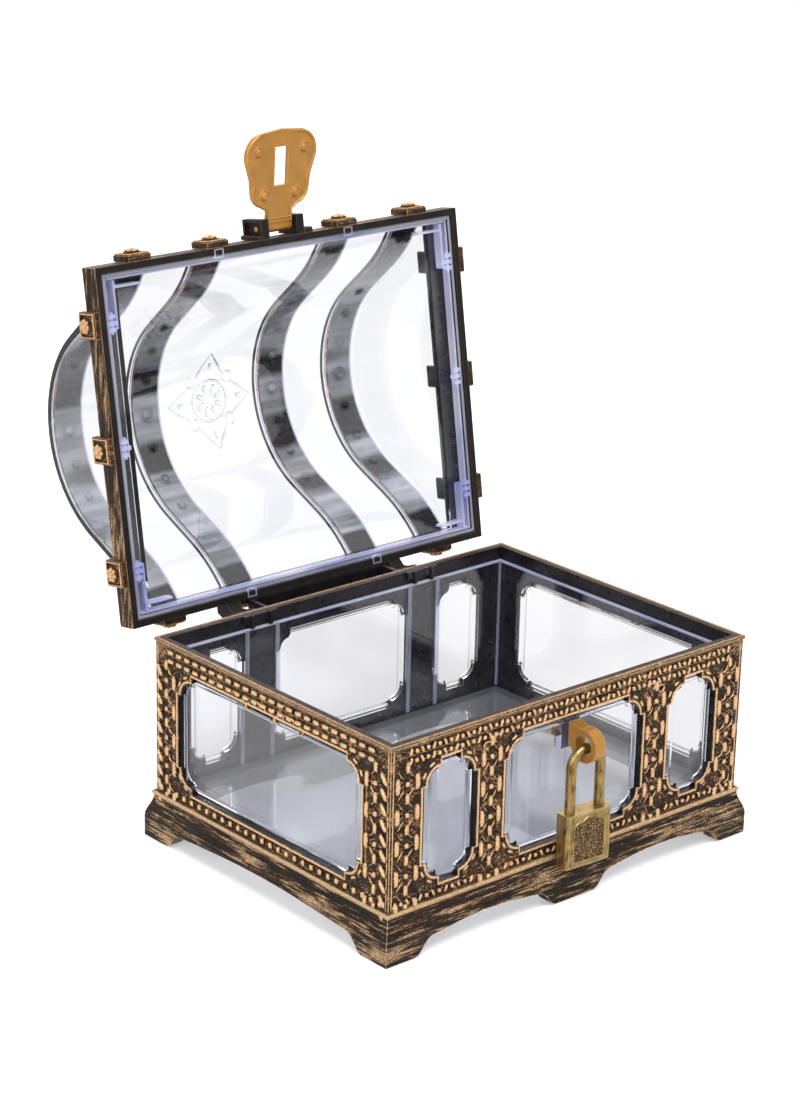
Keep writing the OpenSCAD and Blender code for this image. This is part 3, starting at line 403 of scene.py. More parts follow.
bronze = new_material("dry_brushed_bronze_abs", dry_brushed_bronze, ("#140d0a", "#22180f"),
                      ("#9c693c", "#f9cfa0"), 0.62, (2.4, 0.8), film=0.3, filigree=True)
streaky = new_material("heavily_brushed_plinth_abs", dry_brushed_bronze, ("#110d0b", "#1f1814"),
                       ("#a97340", "#ffe2b8"), 0.84, (15, 0.55), film=0.25, band=(17.6, 19.6))
rim_bronze = new_material("brushed_lid_rim_abs", dry_brushed_bronze, ("#140f0b", "#231a14"),
                          ("#a5703f", "#f6cc9c"), 0.78, (11, 0.6), run="rim", film=0.3)
strap_bronze = new_material("brushed_strap_abs", dry_brushed_bronze, ("#140f0b", "#211812"),
                            ("#9c693c", "#ecbc8c"), 0.74, (12, 0.6), run="straps", film=0.3)
worn_black = new_material("edge_worn_black_abs", dry_brushed_bronze, ("#121010", "#221f20"),
                          ("#4e3826", "#80603f"), 0.1, (5, 0.8), run="rim")
boss_bronze = new_material("rubbed_boss_abs", dry_brushed_bronze, ("#140e0a", "#281c13"),
                           ("#966338", "#f0c08c"), 0.45, (4, 0.6), run="rim", film=0.4)
charcoal = new_material("moulded_charcoal_abs", moulded_charcoal, ("#131114", "#232025"))
# the pale bands on the straps' backs are painted sheen
strap_back = new_material("strap_back_seen_through_lid", moulded_charcoal,
                          ("#0f0d0e", "#1c1a1b"), 0.24, bands=("#a6a9ab", 24))
clear_tray = new_material("clear_moulded_styrene_tray", clear_styrene, ("#f3f3f6", "#fafafb"))
# the tray floor's greyer tint and part-diffuse surface are painted shade, standing in for the
# chest's dark inside seen reflected in and through the layered plastic
clear_floor = new_material("styrene_tray_floor_with_painted_shade", clear_styrene, ("#c6c8cf", "#d2d4da"),
                           clear=0.88)
clear_lid = new_material("clear_moulded_styrene_lid", clear_styrene, ("#f7f8fd", "#fcfcff"), 0.01)
clear_edge = new_material("lavender_styrene_edge", clear_styrene, ("#ccd0f0", "#f4f5ff"), 0.03, 0.6)
clear_rib = new_material("pale_styrene_rib", clear_styrene, ("#dcdef2", "#ebecf9"), 0.03, 0.85)
ochre = new_material("satin_ochre_gold_paint", gold_paint)
brass = new_material("antique_brass_plate", antique_brass)
pebbled = new_material("pebbled_dark_brass", pebbled_brass)
steel = new_material("drawn_steel_wire", drawn_steel)

WALLS = tuple(label + "_wall" for label, _, _ in WALL_FACES)
STRAPS = tuple(label + "_strap" for label, _ in STRAP_PLACES)
FINISHES = {
    bronze: WALLS,
    strap_bronze: STRAPS + ("strap_rivets",),
    boss_bronze: ("front_bosses", "rear_bosses", "left_end_bosses", "right_end_bosses",
                  "boss_rivets"),
    streaky: ("plinth",),
    rim_bronze: ("lid_rim",),
    worn_black: ("left_hasp_ear", "right_hasp_ear", "left_hinge_arm", "right_hinge_arm"),
    charcoal: ("hinge_shelf", "left_hinge_bracket", "right_hinge_bracket"),
    clear_tray: ("clear_tray",),
    clear_lid: ("clear_vault",),
    clear_rib: ("staple_block",),
    ochre: ("staple", "staple_nut", "hasp", "hasp_pin"),
    brass: ("shackle", "lock_case", "lock_bottom_cap", "key_plug"),
    pebbled: ("front_lock_panel", "back_lock_panel"),
    steel: ("left_hinge_pin", "right_hinge_pin", "plug_clip", "latch_bolt"),
}

# --- places on the open lid

AXLE = Vector((0, HINGE_Y, HINGE_Z))
SHUTTING = Matrix.Rotation(math.radians(LID_OPEN), 3, "X")
OPENING = Matrix.Rotation(math.radians(-LID_OPEN), 3, "X")


def opened(point):
    """Point of the shut lid, in mm, as it is on the open lid."""
    return OPENING @ (Vector(point) - AXLE) + AXLE


def lid_place(point):
    """The same for a point whose height counts from the rim's mating face."""
    x, y, z = point
    return opened((x, y, z + LID_Z))


def shut(middle, normal):
    """A face's middle, in metres, and normal on the open lid, as on the shut lid and in mm."""
    return SHUTTING @ (middle / MM - AXLE) + AXLE, SHUTTING @ normal


def crown_place(u, v, h):
    """u across the chest, v along the curve from the vault's crown, h above the surface."""
    angle, r = v / CROWN_R, CROWN_R + h
    return lid_place((u, r * math.sin(angle), VAULT_RISE - CROWN_R + r * math.cos(angle)))


# --- finishes on the nodes

# Tests of a face's middle and normal, for nodes whose faces don't all take the same finish


def outside(p, normal, width, depth):
    """True of a face on the four sides of a box; p is in mm."""
    return (abs(normal.x) > 0.5 and abs(p.x) > width / 2 - 0.3
            or abs(normal.y) > 0.5 and abs(p.y) > depth / 2 - 0.3)


def inside_base(middle, normal):
    p = middle / MM
    return not outside(p, normal, BASE_W, BASE_D) and p.z < BASE_H - 0.2


def inside_plinth(middle, normal):
    x, y, z = middle / MM
    inward = abs(x) < BASE_W / 2 - 1.5 and abs(y) < BASE_D / 2 - 1.5
    return inward or normal.z < -0.9 and z > 1


def tray_floor(middle, normal):
    return abs(normal.z) > 0.5 and middle.z < 40 * MM


def inside_rim(middle, normal):
    p, n = shut(middle, normal)
    return not outside(p, n, RIM_W, RIM_D) and n.z < 0.5


def mating_face(middle, normal):
    p, n = shut(middle, normal)
    return n.z < -0.5 and p.z < LID_Z + 0.2


def strap_inner(middle, normal):
    p, n = shut(middle, normal)
    return n.x ** 2 < 0.25 and n.dot(Vector((0, p.y, p.z - LID_Z + 20))) < 0


def vault_foot(middle, normal):
    p, n = shut(middle, normal)
    return p.z < LID_Z + 3 and abs(n.z) > 0.5


FACE_FINISHES = (
    *((name, charcoal, inside_base) for name in WALLS), ("plinth", charcoal, inside_plinth),
    ("lid_rim", charcoal, inside_rim), ("lid_rim", worn_black, mating_face),
    *((name, strap_back, strap_inner) for name in STRAPS),
    ("clear_vault", clear_edge, vault_foot), ("clear_tray", clear_floor, tray_floor))


def finish_nodes(weld_mm=0.002, edge_angle=32):
    """Each node's finishes, its faces joined so that they shade smoothly up to real edges."""
    for material, names in FINISHES.items():
        for name in names:
            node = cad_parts[name]
            node.data.materials.clear()
            node.data.materials.append(material)
            node.data.shade_smooth()
            node.modifiers.new("join_faces", "WELD").merge_threshold = weld_mm * MM
            node.modifiers.new("keep_edges", "EDGE_SPLIT").split_angle = math.radians(edge_angle)
    for name, material, belongs in FACE_FINISHES:
        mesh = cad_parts[name].data
        mesh.materials.append(material)
        for face in mesh.polygons:
            if belongs(face.center, face.normal):
                face.material_index = len(mesh.materials) - 1


# --- meshes


def add_piece(name, body, material, verts, faces, place=Vector, bevel_mm=0.0, smooth_angle=50):
    """A piece from points in mm, each put in its place, sharp edges eased; returns its mesh."""
    mesh = bpy.data.meshes.new(name)
    mesh.from_pydata([place(v) * MM for v in verts], [], faces)
    work = bmesh.new()
    work.from_mesh(mesh)
    if bevel_mm:
        edges = [e for e in work.edges if e.is_manifold and e.calc_face_angle(0) > 0.5]
        bmesh.ops.bevel(work, geom=edges, offset=bevel_mm * MM, segments=2, affect="EDGES",
                        clamp_overlap=True)
    bmesh.ops.recalc_face_normals(work, faces=work.faces)
    work.to_mesh(mesh)
    work.free()
    mesh.materials.append(material)
    obj = put(name, mesh)
    mesh.shade_smooth()
    mesh.set_sharp_from_angle(angle=math.radians(smooth_angle))
    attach(obj, body)
    return mesh


def add_blocks(name, body, material, blocks, place=Vector, bevel_mm=0.2):
    """One piece from blocks, each given by two opposite corners in mm."""
    verts, faces = [], []
    for a, b in blocks:
        first = len(verts)
        (x0, x1), (y0, y1), (z0, z1) = (sorted(pair) for pair in zip(a, b))
        verts += [(x, y, z) for x in (x0, x1) for y in (y0, y1) for z in (z0, z1)]
        for quad in ((0, 1, 3, 2), (4, 6, 7, 5), (0, 4, 5, 1), (2, 3, 7, 6), (0, 2, 6, 4),
                     (1, 5, 7, 3)):
            faces.append(tuple(first + i for i in quad))
    add_piece(name, body, material, verts, faces, place, bevel_mm)


def heading(degrees):
    """Cosine and sine."""
    return math.cos(math.radians(degrees)), math.sin(math.radians(degrees))


def arc(cu, cv, r, a0, a1, steps=8):
    """Points on a circle about (cu, cv), from a0 to a1 degrees."""
    turns = (heading(a0 + (a1 - a0) * i / steps) for i in range(steps + 1))
    return [(cu + r * c, cv + r * s) for c, s in turns]


# Cross-sections of raised ornament, as shares of its width and height; their feet are sunk in
BEAD_RINGS = ((1.0, -0.15), (0.93, 0.45), (0.72, 0.84), (0.36, 1.0))
RIDGE_SECTION = ((-0.5, -0.15), (-0.34, 0.6), (-0.12, 1.0), (0.12, 1.0), (0.34, 0.6),
                 (0.5, -0.15))


class Relief:
    """Gathers raised ornament on a flat face, seen with u to the right and v up, sizes in mm.
    Every point keeps how high it stands, so that the brushed gold finds its upper part while
    its lower sides stay dark, partly as painted shade."""

    def __init__(self):
        self.points, self.faces, self.raised = [], [], []

    def loop(self, points, heights):
        """Adds (u, v, height) points and the shares of their full height; returns their numbers."""
        first = len(self.points)
        self.points += points
        self.raised += [max(share, 0.0) for share in heights]
        return range(first, len(self.points))

    def bead(self, u, v, half_u, half_v, high, turn=0.0, square=0.55, lift=0.0, steps=12):
        """A rounded bead or pill at (u, v). Under 1, square makes its outline squarer."""
        c, s = heading(turn)
        loops = []
        for scale, rise in BEAD_RINGS:
            points = []
            for i in range(steps):
                a = 2 * math.pi * i / steps
                x, y = (half * scale * math.copysign(abs(share) ** square, share)
                        for half, share in ((half_u, math.cos(a)), (half_v, math.sin(a))))
                points.append((u + x * c - y * s, v + x * s + y * c, lift + high * rise))
            loops.append(self.loop(points, [rise] * steps))
        for low, top in zip(loops, loops[1:]):
            for i in range(steps):
                j = (i + 1) % steps
                self.faces.append((low[i], low[j], top[j], top[i]))
        self.faces.append(tuple(loops[-1]))

    def ridge(self, path, width, high, lift=0.0, closed=False, ends=0.25):
        """A half-round ridge along a path of (u, v) points; open ends thin to the share ends."""
        n = len(path)
        loops = []
        for i, (u, v) in enumerate(path):
            before = path[i - 1] if i or closed else path[i]
            after = path[(i + 1) % n] if i < n - 1 or closed else path[i]
            du, dv = after[0] - before[0], after[1] - before[1]
            size = math.hypot(du, dv) or 1.0
            thin = 1.0 if closed or 0 < i < n - 1 else ends
            points = []
            for across, rise in RIDGE_SECTION:
                w = width * across * thin
                points.append((u - dv / size * w, v + du / size * w,
                               lift + high * rise * (thin if rise > 0 else 1)))
            loops.append(self.loop(points, [rise for _, rise in RIDGE_SECTION]))
        for a, b in zip(loops, loops[1:] + ([loops[0]] if closed else [])):
            for k in range(len(RIDGE_SECTION) - 1):
                self.faces.append((a[k], b[k], b[k + 1], a[k + 1]))
        if not closed:
            self.faces += [tuple(loops[0]), tuple(reversed(loops[-1]))]

    def ring(self, u, v, r, width, high, steps=20):
        self.ridge(arc(u, v, r, 0, 360, steps)[:-1], width, high, closed=True)

    def frame(self, u, v, half_u, half_v, width, high):
        path = [(u + a * half_u, v + b * half_v) for a, b in ((-1, -1), (1, -1), (1, 1), (-1, 1))]
        self.ridge(path, width, high, closed=True)

    def build(self, name, body, place, material):
        """place turns (u, v, height) in mm into a point of the part in mm."""
        mesh = add_piece(name, body, material, self.points, self.faces, lambda p: place(*p))
        mesh.attributes.new("raised", "FLOAT", "POINT").data.foreach_set("value", self.raised)


# --- filigree on the walls

# Rows of ornament on the posts, as (distance from the post's edge or middle, kind)
PILL_TOP, ROW_PITCH, ROW_STEPS = 68.4, 12.0, 5
CORNER_ROWS = ((2.9, "pill"), (7.5, "dots"), (12.3, "pill"))
END_ROWS = ((3.0, "dash"), (7.5, "dots"), (12.3, "pill"))
PILLAR_ROWS = ((-4.1, "pill"), (0, "dots"), (4.1, "pill"))
RAIL_INSET = 7.5


def window_path(width, out):
    """Outline of a scrolled window, out mm outside the opening, centred on (0, 0)."""
    cu, cv = width / 2 - SCROLL_W, WINDOW_H / 2 - SCROLL_H
    r = min(SCROLL_W, SCROLL_H) - SCROLL_STEP + out
    corner = [(cu, WINDOW_H / 2 + out), *arc(cu, cv, r, 90, 0), (width / 2 + out, cv)]
    right = corner + [(u, -v) for u, v in reversed(corner)]
    return right + [(-u, v) for u, v in reversed(right)]


def window_border(relief, u, width):
    """Rounded border of a window, with two leaf beads in each scrolled corner."""
    path = [(u + a, WINDOW_Z + b) for a, b in window_path(width, LIP_W * 0.5)]
    relief.ridge(path, LIP_W * 0.95, 0.55, lift=LIP_OUT, closed=True)
    r = SCROLL_W - SCROLL_STEP + 2.3
    for su, sv in CORNERS:
        cu, cv = u + su * (width / 2 - SCROLL_W), WINDOW_Z + sv * (WINDOW_H / 2 - SCROLL_H)
        for turn in (28, 62):
            c, s = heading(turn)
            relief.bead(cu + su * r * c, cv + sv * r * s, 1.5, 0.6, 0.7,
                        turn=math.degrees(math.atan2(sv * s, su * c)) + 90)


def post(relief, u, rows):
    """Upright rows of long pills, dots with short pills midway, or slanted dashes, and fine
    slanted ties from row to row."""
    for k in range(ROW_STEPS):
        v = PILL_TOP - ROW_PITCH * k
        lowest = k == ROW_STEPS - 1
        for offset, kind in rows:
            if kind == "pill":
                relief.bead(u + offset, v, 1.1, 2.2 if lowest else 3.5, 1.2)
            elif kind == "dash":
                for rise, half in ((3.0, 2.9), (-3.0, 1.8 if lowest else 2.9)):
                    relief.bead(u + offset, v + rise, 1.0, half, 1.2, turn=36)
            else:
                relief.bead(u + offset, v, 1.05, 1.05, 1.2)
                relief.bead(u + offset, v + ROW_PITCH * 0.52, 1.0, 2.3, 1.15)
        tied = [u + offset for offset, kind in rows if kind != "dash"]
        for a, b in zip(tied, tied[1:]):
            lean = 1 if b > a else -1
            for rise in (1,) if lowest else (1, -1):
                relief.ridge([(a + lean * 0.7, v + rise * 5.4), (a + lean * 1.7, v + rise * 3.4),
                              (b - lean * 1.3, v + rise * 2.2)], 0.7, 0.75)
                relief.ridge([(a + lean * 1.3, v + rise * 1.4), (b - lean * 1.4, v + rise * 0.4)],
                             0.6, 0.65)


def corner_post(relief, side, half, rows):
    """The rows at one end of a wall, and the flat strip on its edge."""
    post(relief, side * half, [(-side * offset, kind) for offset, kind in rows])
    u = side * (half - 1.35)
    relief.ridge([(u, PLINTH_H + 0.4), (u, BASE_H - 1.6)], 2.6, 0.4)


def spaced(u0, u1, pitch):
    """Middles of the equal steps from u0 to u1 that are a pitch long, or little more."""
    count = int((u1 - u0) / pitch)
    return [u0 + (u1 - u0) * (i + 0.5) / count for i in range(count)]


def beads_and_dashes(relief, u0, u1, v, pitch=2.7, size=1.0):
    """Round beads between dashes that lean left and right in turn."""
    for i, u in enumerate(spaced(u0, u1, pitch)):
        if i % 2:
            relief.bead(u, v, 0.85 * size, 0.9 * size, 1.05)
        else:
            relief.bead(u, v, 0.6 * size, 1.6 * size, 1.0, turn=24 if i % 4 else -24)


def long_beads(relief, u0, u1, v, pitch=5.0):
    middles = spaced(u0, u1, pitch)
    for u in middles:
        relief.bead(u, v, (u1 - u0) / len(middles) * 0.37, 0.95, 1.05)


def flourish(relief, u, v, side):
    """An S-shaped scroll with a curl at each end."""
    first = arc(u - side * 2.6, v + 0.9, 1.5, *((200, -60) if side > 0 else (-20, 240)), 9)
    second = arc(u + side * 2.6, v - 0.9, 1.5, *((120, -140) if side > 0 else (60, 320)), 9)
    relief.ridge(first + second, 0.8, 0.75)


def top_rail(relief, half, row):
    """Two rows of ornament between fine lines under a heavier edge line, and a fan of lines in
    each top corner."""
    middle = BASE_H - TOP_RAIL / 2 - 0.35
    for inset, v, width, high, lift in ((1.2, middle, 0.7, 0.6, 0.0),
                                        (0.2, BASE_H - 0.75, 1.5, 0.5, LIP_OUT),
                                        (2.0, BASE_H - 1.95, 0.7, 0.55, 0.0)):
        relief.ridge([(inset - half, v), (half - inset, v)], width, high, lift=lift)
    for v in (middle + 1.6, middle - 2.05):
        row(relief, RAIL_INSET - half, half - RAIL_INSET, v)
    for side in SIDES:
        u, v = side * (half - 0.6), BASE_H - 1.7
        for turn in (12, 30, 48, 66, 84):
            c, s = heading(-turn)
            relief.ridge([(u - side * r * c, v + r * s) for r in (1.6, 6.6)], 0.6, 0.55)


def bottom_rail(relief, u0, u1):
    beads_and_dashes(relief, u0, u1, PLINTH_H + (BOTTOM_RAIL - LIP_W) / 2, pitch=3.1, size=0.95)


def long_wall(relief):
    half = BASE_W / 2
    window_border(relief, 0, MID_WINDOW_W)
    bottom_rail(relief, -MID_WINDOW_W / 2, MID_WINDOW_W / 2)
    for side in SIDES:
        window_border(relief, side * SIDE_WINDOW_X, SIDE_WINDOW_W)
        corner_post(relief, side, half, CORNER_ROWS)
        post(relief, side * PILLAR_X, PILLAR_ROWS)
        flourish(relief, side * PILLAR_X, BASE_H - TOP_RAIL - 0.2, side)
        bottom_rail(relief, *sorted((side * (half - 0.8), side * (PILLAR_X + PILLAR_W / 2))))
    top_rail(relief, half, beads_and_dashes)


def short_wall(relief):
    half = BASE_D / 2
    window_border(relief, 0, END_WINDOW_W)
    for side in SIDES:
        u, reach = side * (END_WINDOW_W / 2 + 2.0), WINDOW_H / 2 - 6
        relief.ridge([(u, WINDOW_Z - reach), (u, WINDOW_Z + reach)], 1.6, 0.5)
        corner_post(relief, side, half, END_ROWS)
    for k in range(-2, 3):
        flourish(relief, k * 8.5, BASE_H - TOP_RAIL + 0.6, -1 if k % 2 else 1)
    for u in spaced(1.5 - half, half - 1.5, 4.8):
        relief.bead(u, PLINTH_H + 2.4, 1.05, 1.3, 1.15)
    top_rail(relief, half, long_beads)


def wall_place(turn, distance):
    """Places (u, v, height) on the wall that faces the front, turned about the chest's middle."""
    spin = Matrix.Rotation(math.radians(turn), 3, "Z")
    return lambda u, v, h: spin @ Vector((u, -distance - h, v))


def wall_reliefs():
    for label, turn, distance in WALL_FACES:
        relief = Relief()
        (long_wall if turn % 180 == 0 else short_wall)(relief)
        relief.build(label + "_wall_relief", "base", wall_place(turn, distance), bronze)


# --- tray and hinge side


def tray_trim():
    """Upright ribs inside the tray at the pillars and corners, and its bright top edge."""
    x, y, edge = TRAY_W / 2 - TRAY_T, TRAY_D / 2 - TRAY_T, 1.4
    ribs, edges = [], []
    for side in SIDES:
        for pillar in (-PILLAR_X, PILLAR_X):
            for beside in (-PILLAR_W / 2 - 0.6, PILLAR_W / 2 + 0.6):
                ribs.append(((pillar + beside - 0.8, side * y, TRAY_FLOOR),
                             (pillar + beside + 0.8, side * (y - 0.9), TRAY_TOP)))
        for end in SIDES:
            ribs.append(((side * x, end * y, TRAY_FLOOR),
                         (side * (x - 1.0), end * (y - 1.0), TRAY_TOP)))
        edges += [((-x - edge, side * (y + edge), TRAY_TOP - 0.6),
                   (x + edge, side * y, TRAY_TOP + 0.2)),
                  ((side * (x + edge), -y, TRAY_TOP - 0.6), (side * x, y, TRAY_TOP + 0.2))]
    add_blocks("tray_ribs", "base", clear_rib, ribs, bevel_mm=0.15)
    add_blocks("tray_top_edge", "base", clear_edge, edges, bevel_mm=0.15)


def pane_bevels():
    """Bright bevelled border of each window's raised pane."""
    long_panes = ((0, MID_WINDOW_W), (-SIDE_WINDOW_X, SIDE_WINDOW_W),
                  (SIDE_WINDOW_X, SIDE_WINDOW_W))
    for walls, panes in ((WALL_FACES[::2], long_panes), (WALL_FACES[1::2], ((0, END_WINDOW_W),))):
        for label, turn, distance in walls:
            relief = Relief()
            for u, width in panes:
                relief.frame(u, WINDOW_Z, width / 2 - 4.2, WINDOW_H / 2 - 2.6, 1.1, 0.45)
            place = wall_place(turn, distance - 0.75)
            relief.build(label + "_pane_bevels", "base", place, clear_lid)


def hinge_side():
    """Tee-shaped hooks of the hinge brackets over the back wall's inner face, and the low beads
    on shelf and rim that meet behind the open lid."""
    inner = BASE_D / 2 - WALL_T
    tees = []
    for x in (-PILLAR_X, PILLAR_X):
        tees.append(((x - 8.6, inner - 1.5, BASE_H - 3.5), (x + 8.6, inner + 0.1, BASE_H)))
        for x0 in (x - 5.6, x + 3.6):
            tees.append(((x0, inner - 2.3, BASE_H - 5.4), (x0 + 2.0, inner + 0.1, BASE_H)))
    add_blocks("hinge_tees", "base", charcoal, tees, bevel_mm=0.3)
    lip = ((-SHELF_HALF, SHELF_BACK - 0.7, SHELF_TOP - 0.1),
           (SHELF_HALF, SHELF_BACK, SHELF_TOP + 0.24))
    add_blocks("shelf_lip", "base", charcoal, [lip], bevel_mm=0.08)
    bead = ((-SHELF_HALF, RIM_D / 2 - 0.1, 0.1), (SHELF_HALF, RIM_D / 2 + 0.27, 0.9))
    add_blocks("rim_back_bead", "lid", charcoal, [bead], lid_place, 0.08)


# --- vault


def vault_curve(off, steps=22):
    """(y, z) points of the vault's outline from front to back, off mm outside its face: a round
    crown, a straight flank and a foot that sweeps out again."""
    (c_flank, s_flank), (c_foot, s_foot) = heading(FLANK), heading(FOOT)
    crown_y, crown_z = CROWN_R * s_flank, VAULT_RISE - CROWN_R * (1 - c_flank)
    slope = math.tan(math.radians(FLANK))
    run = (crown_z - SWEEP_R * (c_foot - c_flank) - RIM_H) / slope
    flank_y, flank_z = crown_y + run, crown_z - run * slope
    spread = VAULT_HALF_Y / (flank_y + SWEEP_R * (s_flank - s_foot))
    half = []
    for i in range(steps + 1):
        c, s = heading(FLANK * i / steps)
        half.append((CROWN_R * s, VAULT_RISE - CROWN_R * (1 - c), c, s))
    for i in range(steps // 2 + 1):
        c, s = heading(FLANK + (FOOT - FLANK) * i / (steps // 2))
        half.append((flank_y + SWEEP_R * (s_flank - s), flank_z - SWEEP_R * (c - c_flank), c, s))
    half = [(spread * y + off * s, z + off * c) for y, z, c, s in half]
    return [(-y, z) for y, z in reversed(half[1:])] + half


def strap_ribs():
    """Fine ribs of the vault beside each strap: two on its left, one on its right."""
    ribs = (("shadow_rib", -STRAP_W / 2 - 2.7, 0.35, 1.3, charcoal),
            ("clear_rib", -STRAP_W / 2 - 1.1, 0.5, 0.7, clear_rib),
            ("far_rib", STRAP_W / 2 + 0.6, 0.45, 0.6, clear_rib))
    for label, x in STRAP_PLACES:
        for kind, beside, width, high, material in ribs:
            outline = vault_curve(0.02) + vault_curve(high)
            n = len(outline) // 2
            verts = [(x + beside + side * width / 2, y, z) for side in SIDES for y, z in outline]
            a, b, c, d = 0, n, 2 * n, 3 * n  # the first points of the four edges
            faces = [(a + i, b + i, d + i, c + i) for i in (0, n - 1)]
            for i in range(n - 1):
                faces += [(p + i, p + i + 1, q + i + 1, q + i)
                          for p, q in ((a, b), (c, d), (a, c), (b, d))]
            add_piece(label + "_" + kind, "lid", material, verts, faces, lid_place,
                      smooth_angle=35)


def clear_flange():
    """Flange strip of the vault inside the rim, its corner ribs, clip tabs and locating pegs."""
    x, y = RIM_W / 2 - RIM_T - 1.7, RIM_D / 2 - RIM_T - 1.7
    low, high = 0.9, 5.3
    strip, ribs, tabs, pegs = [], [], [], []
    for side in SIDES:
        strip += [((side * x, -y, 1.6), (side * (x - 1.0), y, high)),
                  ((1.2 - x, side * y, 1.6), (x - 1.2, side * (y - 1.0), high))]
        for tab_y in END_BOSS_PLACES:
            tab_x = side * (x + 0.6)
            for dy, reach in ((-2.6, 3.6), (0, 4.6), (2.6, 3.6)):
                tabs.append(((tab_x, tab_y + dy - 0.9, 0.5),
                             (tab_x - side * reach, tab_y + dy + 0.9, 2.4)))
            tabs.append(((tab_x - side * 1.4, tab_y - 4.4, low),
                         (tab_x - side * 2.6, tab_y + 4.4, 2.0)))
        for peg_x in (-INNER_STRAP_X, INNER_STRAP_X):
            peg_y = side * (RIM_D / 2 - 2.2)
            for x0, x1, y0, y1 in ((-2.4, -1.6, -1.9, 1.9), (1.6, 2.4, -1.9, 1.9),
                                   (-1.6, 1.6, 1.2, 1.9), (-1.6, 1.6, -1.9, -1.2)):
                pegs.append(((peg_x + x0, peg_y + y0, -0.12), (peg_x + x1, peg_y + y1, low)))
    for sx, sy in CORNERS:
        # each rib by its two ends, inward from the corner
        for x0, y0, x1, y1 in ((0, 0, 1.0, 19), (-2.2, 18, 1.0, 19), (0, 2.2, 13, 3.2)):
            ribs.append(((sx * (x - 3.4 - x0), sy * (y - 1.2 - y0), low),
                         (sx * (x - 3.4 - x1), sy * (y - 1.2 - y1), high)))
    for name, blocks, bevel in (("flange_strip", strip, 0.2), ("corner_ribs", ribs, 0.2),
                                ("clip_tabs", tabs, 0.2), ("locating_pegs", pegs, 0.12)):
        add_blocks(name, "lid", clear_edge, blocks, lid_place, bevel)


def rosette(size=21.0):
    """Plain rosette pressed into the crown: a ring round eight petals, and four pointed
    leaves with curls between them."""
    relief = Relief()
    relief.ring(0, 0, size * 0.42, 1.3, 0.2, steps=32)
    for turn in (0, 90, 180, 270):
        c, s = heading(turn)
        leaf = ((0.5, -0.34), (0.72, -0.2), (1.0, 0), (0.72, 0.2), (0.5, 0.34))
        relief.ridge([(size * (u * c - v * s), size * (u * s + v * c)) for u, v in leaf],
                     1.2, 0.2, ends=0.7)
        relief.bead(size * 0.72 * c, size * 0.72 * s, 1.6, 1.0, 0.3, turn=turn)
        c, s = heading(turn + 45)
        relief.ridge(arc(size * 0.62 * c, size * 0.62 * s, 2.4, turn + 180, turn + 450, 12),
                     1.0, 0.25)
    for k in range(8):
        c, s = heading(45 * k + 22.5)
        relief.bead(size * 0.24 * c, size * 0.24 * s, 2.2, 1.1, 0.25, turn=45 * k + 22.5)
    relief.build("rosette", "lid", crown_place, clear_lid)


def rivet_ends():
    """Ends of the strap rivets, seen through the vault: a large one at the crown, small ones
    down from it."""
    pitch = math.radians(FLANK / 3.2) * CROWN_R
    for label, x in STRAP_PLACES:
        relief = Relief()
        for k in range(-3, 4):
            r, high = (1.3, 0.5) if k else (2.2, 1.0)
            relief.bead(0, k * pitch, r, r, high, square=1.0, steps=16)
            relief.ring(0, k * pitch, r + 0.6, 0.5, 0.25)
        relief.build(label + "_rivet_ends", "lid",
                     lambda u, v, h: crown_place(x + u, v, -VAULT_T - 0.05 - h), strap_back)


# --- rim, hasp and lock


def boss_frame(name, half_h, place):
    """Raised rim round a boss plate and a hammered dome on it."""
    relief = Relief()
    relief.frame(0, 0, BOSS_W / 2 - 0.75, half_h - 0.75, 1.2, 0.7)
    for k in range(7):
        turn = 360 * k / 7
        c, s = heading(turn)
        relief.bead(1.9 * c, 1.9 * s, 1.15, 0.95, 1.2, turn=turn + 20, lift=0.9)
    relief.bead(0, 0, 1.3, 1.2, 1.0, lift=1.5)
    relief.build(name, "lid", lambda u, v, h: lid_place(place(u, v, h + BOSS_T)), boss_bronze)


def boss_frames():
    for side, label in zip(SIDES, ("left", "right")):
        for k, y in enumerate(END_BOSS_PLACES, 1):
            boss_frame(f"{label}_end_boss_frame_{k}", BOSS_HALF,
                       lambda u, v, h: (side * (RIM_W / 2 + h), y + side * u, BOSS_Z + v))
    for k, (_, x) in enumerate(STRAP_PLACES, 1):
        boss_frame(f"front_boss_frame_{k}", BOSS_HALF,
                   lambda u, v, h: (x + u, -RIM_D / 2 - h, BOSS_Z + v))
        boss_frame(f"rear_boss_frame_{k}", REAR_BOSS_HALF,
                   lambda u, v, h: (x - u, RIM_D / 2 + h, REAR_BOSS_Z + v))


def rim_fittings():
    """Black plates on the rim's ends that hold the vault, beside each end boss, and the cap and
    feet of the hasp ears."""
    catches, half, end = [], 4.6, RIM_W / 2
    for side in SIDES:
        for y in END_BOSS_PLACES:
            for x0, x1, high in ((end - 10.9, end - 9.4, 5.2), (end - 10.0, end + 0.5, 1.6)):
                catches.append(((side * x0, y - half, RIM_H - 0.1),
                                (side * x1, y + half, RIM_H + high)))
    add_blocks("vault_catches", "lid", worn_black, catches, lid_place, 0.35)
    x, front = EAR_X, -RIM_D / 2
    feet = [((x - 3.9, front - EAR_OUT, 11.4), (x + 2.6, front - EAR_OUT + 1.6, 12.9)),
            ((x - 0.2, front - 2.2, 0.2), (x + 4.4, front + 0.2, 4.6)),
            ((-x - 1.8, front - 1.6, 0.2), (-x + 0.2, front + 0.2, 12.4))]
    add_blocks("hasp_ear_feet", "lid", worn_black, feet, lid_place, 0.3)


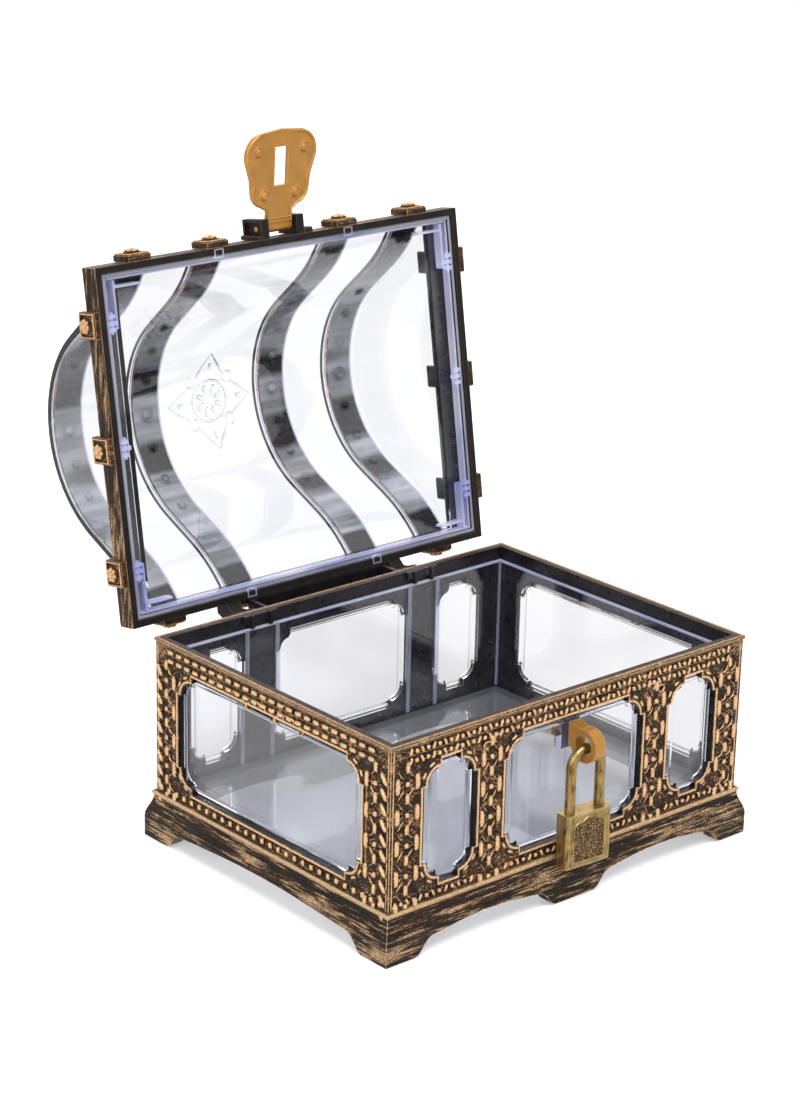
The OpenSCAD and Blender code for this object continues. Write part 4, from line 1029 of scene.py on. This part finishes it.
def hasp_place(u, v, h):
    """u across the hanging hasp, v up from its pin, h out of the face that then shows."""
    spin = Matrix.Rotation(math.radians(-HASP_OPEN), 3, "X")
    pin = Vector((0, -RIM_D / 2 - HASP_OUT, LID_Z + HASP_UP))
    return opened(spin @ Vector((u, HASP_FACE - h, v)) + pin)


def hasp_borders():
    """On both faces a raised border, four ringed studs, a fine edge round the slot, a seam below
    it and a thick bar over the barrel."""
    inset = 0.75
    (su, sv, sr), (lu, lv, lr), neck = SHOULDER, LOBE, NECK_W / 2 - inset
    half = [(0, inset - HASP_LEN), *arc(su, sv, sr - inset, -84, 17, 12),
            *arc(lu, lv, lr - inset, -28, 74, 9), (neck, -7.4), (neck, -2.6)]
    for label, lift, way in (("face", 0.68, 1), ("back", 0.72, -1)):
        relief = Relief()
        relief.ridge([*half, *((-u, v) for u, v in reversed(half[1:]))], 1.3, 0.55)
        for u, v in STUDS:
            for side in SIDES:
                relief.bead(side * u, v, 1.9, 1.9, 1.0, square=1.0, steps=20)
                relief.ring(side * u, v, 2.3, 0.5, 0.22)
        relief.frame(*SLOT_FRAME, 0.8, 0.3)
        relief.ridge([(0, -38.8), (0, -34.0)], 0.5, 0.3)
        relief.ridge([(-6.0, -4.2), (6.0, -4.2)], 1.1, 0.6, ends=0.9)
        relief.build("hasp_border_" + label, "hasp",
                     lambda u, v, h: hasp_place(u, v, way * (h + lift)), ochre)


def lock_frames():
    """Raised line round each pebbled panel, arched on top, and a bead round the case's face."""
    spin = Matrix.Rotation(math.radians(LOCK_TURN), 3, "Z")
    middle, lobe = CASE_Z + CASE_H / 2, PANEL_W / 5
    foot, shoulder = middle - PANEL_H / 2, middle + PANEL_H / 2 - lobe - 1.5
    right = arc(PANEL_W / 2 - lobe, shoulder, lobe, 0, 78, 6)
    crown = arc(0, shoulder + 0.9, lobe + 0.6, 40, 140, 10)
    path = [(-PANEL_W / 2, foot), (PANEL_W / 2, foot), *right, *crown,
            *((-u, v) for u, v in reversed(right))]
    for side, label in ((1, "front"), (-1, "back")):
        relief = Relief()
        relief.ridge(path, 0.7, 0.28, closed=True)
        relief.frame(0, middle, CASE_W / 2 - 1.3, CASE_H / 2 - 0.6, 0.5, 0.16)
        relief.build(label + "_lock_frame", "lock_case",
                     lambda u, v, h: spin @ Vector((side * u, -side * (CASE_T / 2 + h), v))
                     + Vector((LOCK_X, LOCK_Y, 0)), brass)


# --- build

set_camera()
set_studio()
lay_floor()
finish_nodes()
for dress in (rim_fittings, hinge_side, lock_frames, strap_ribs, tray_trim, pane_bevels,
              rivet_ends, clear_flange, rosette, hasp_borders, boss_frames, wall_reliefs):
    dress()
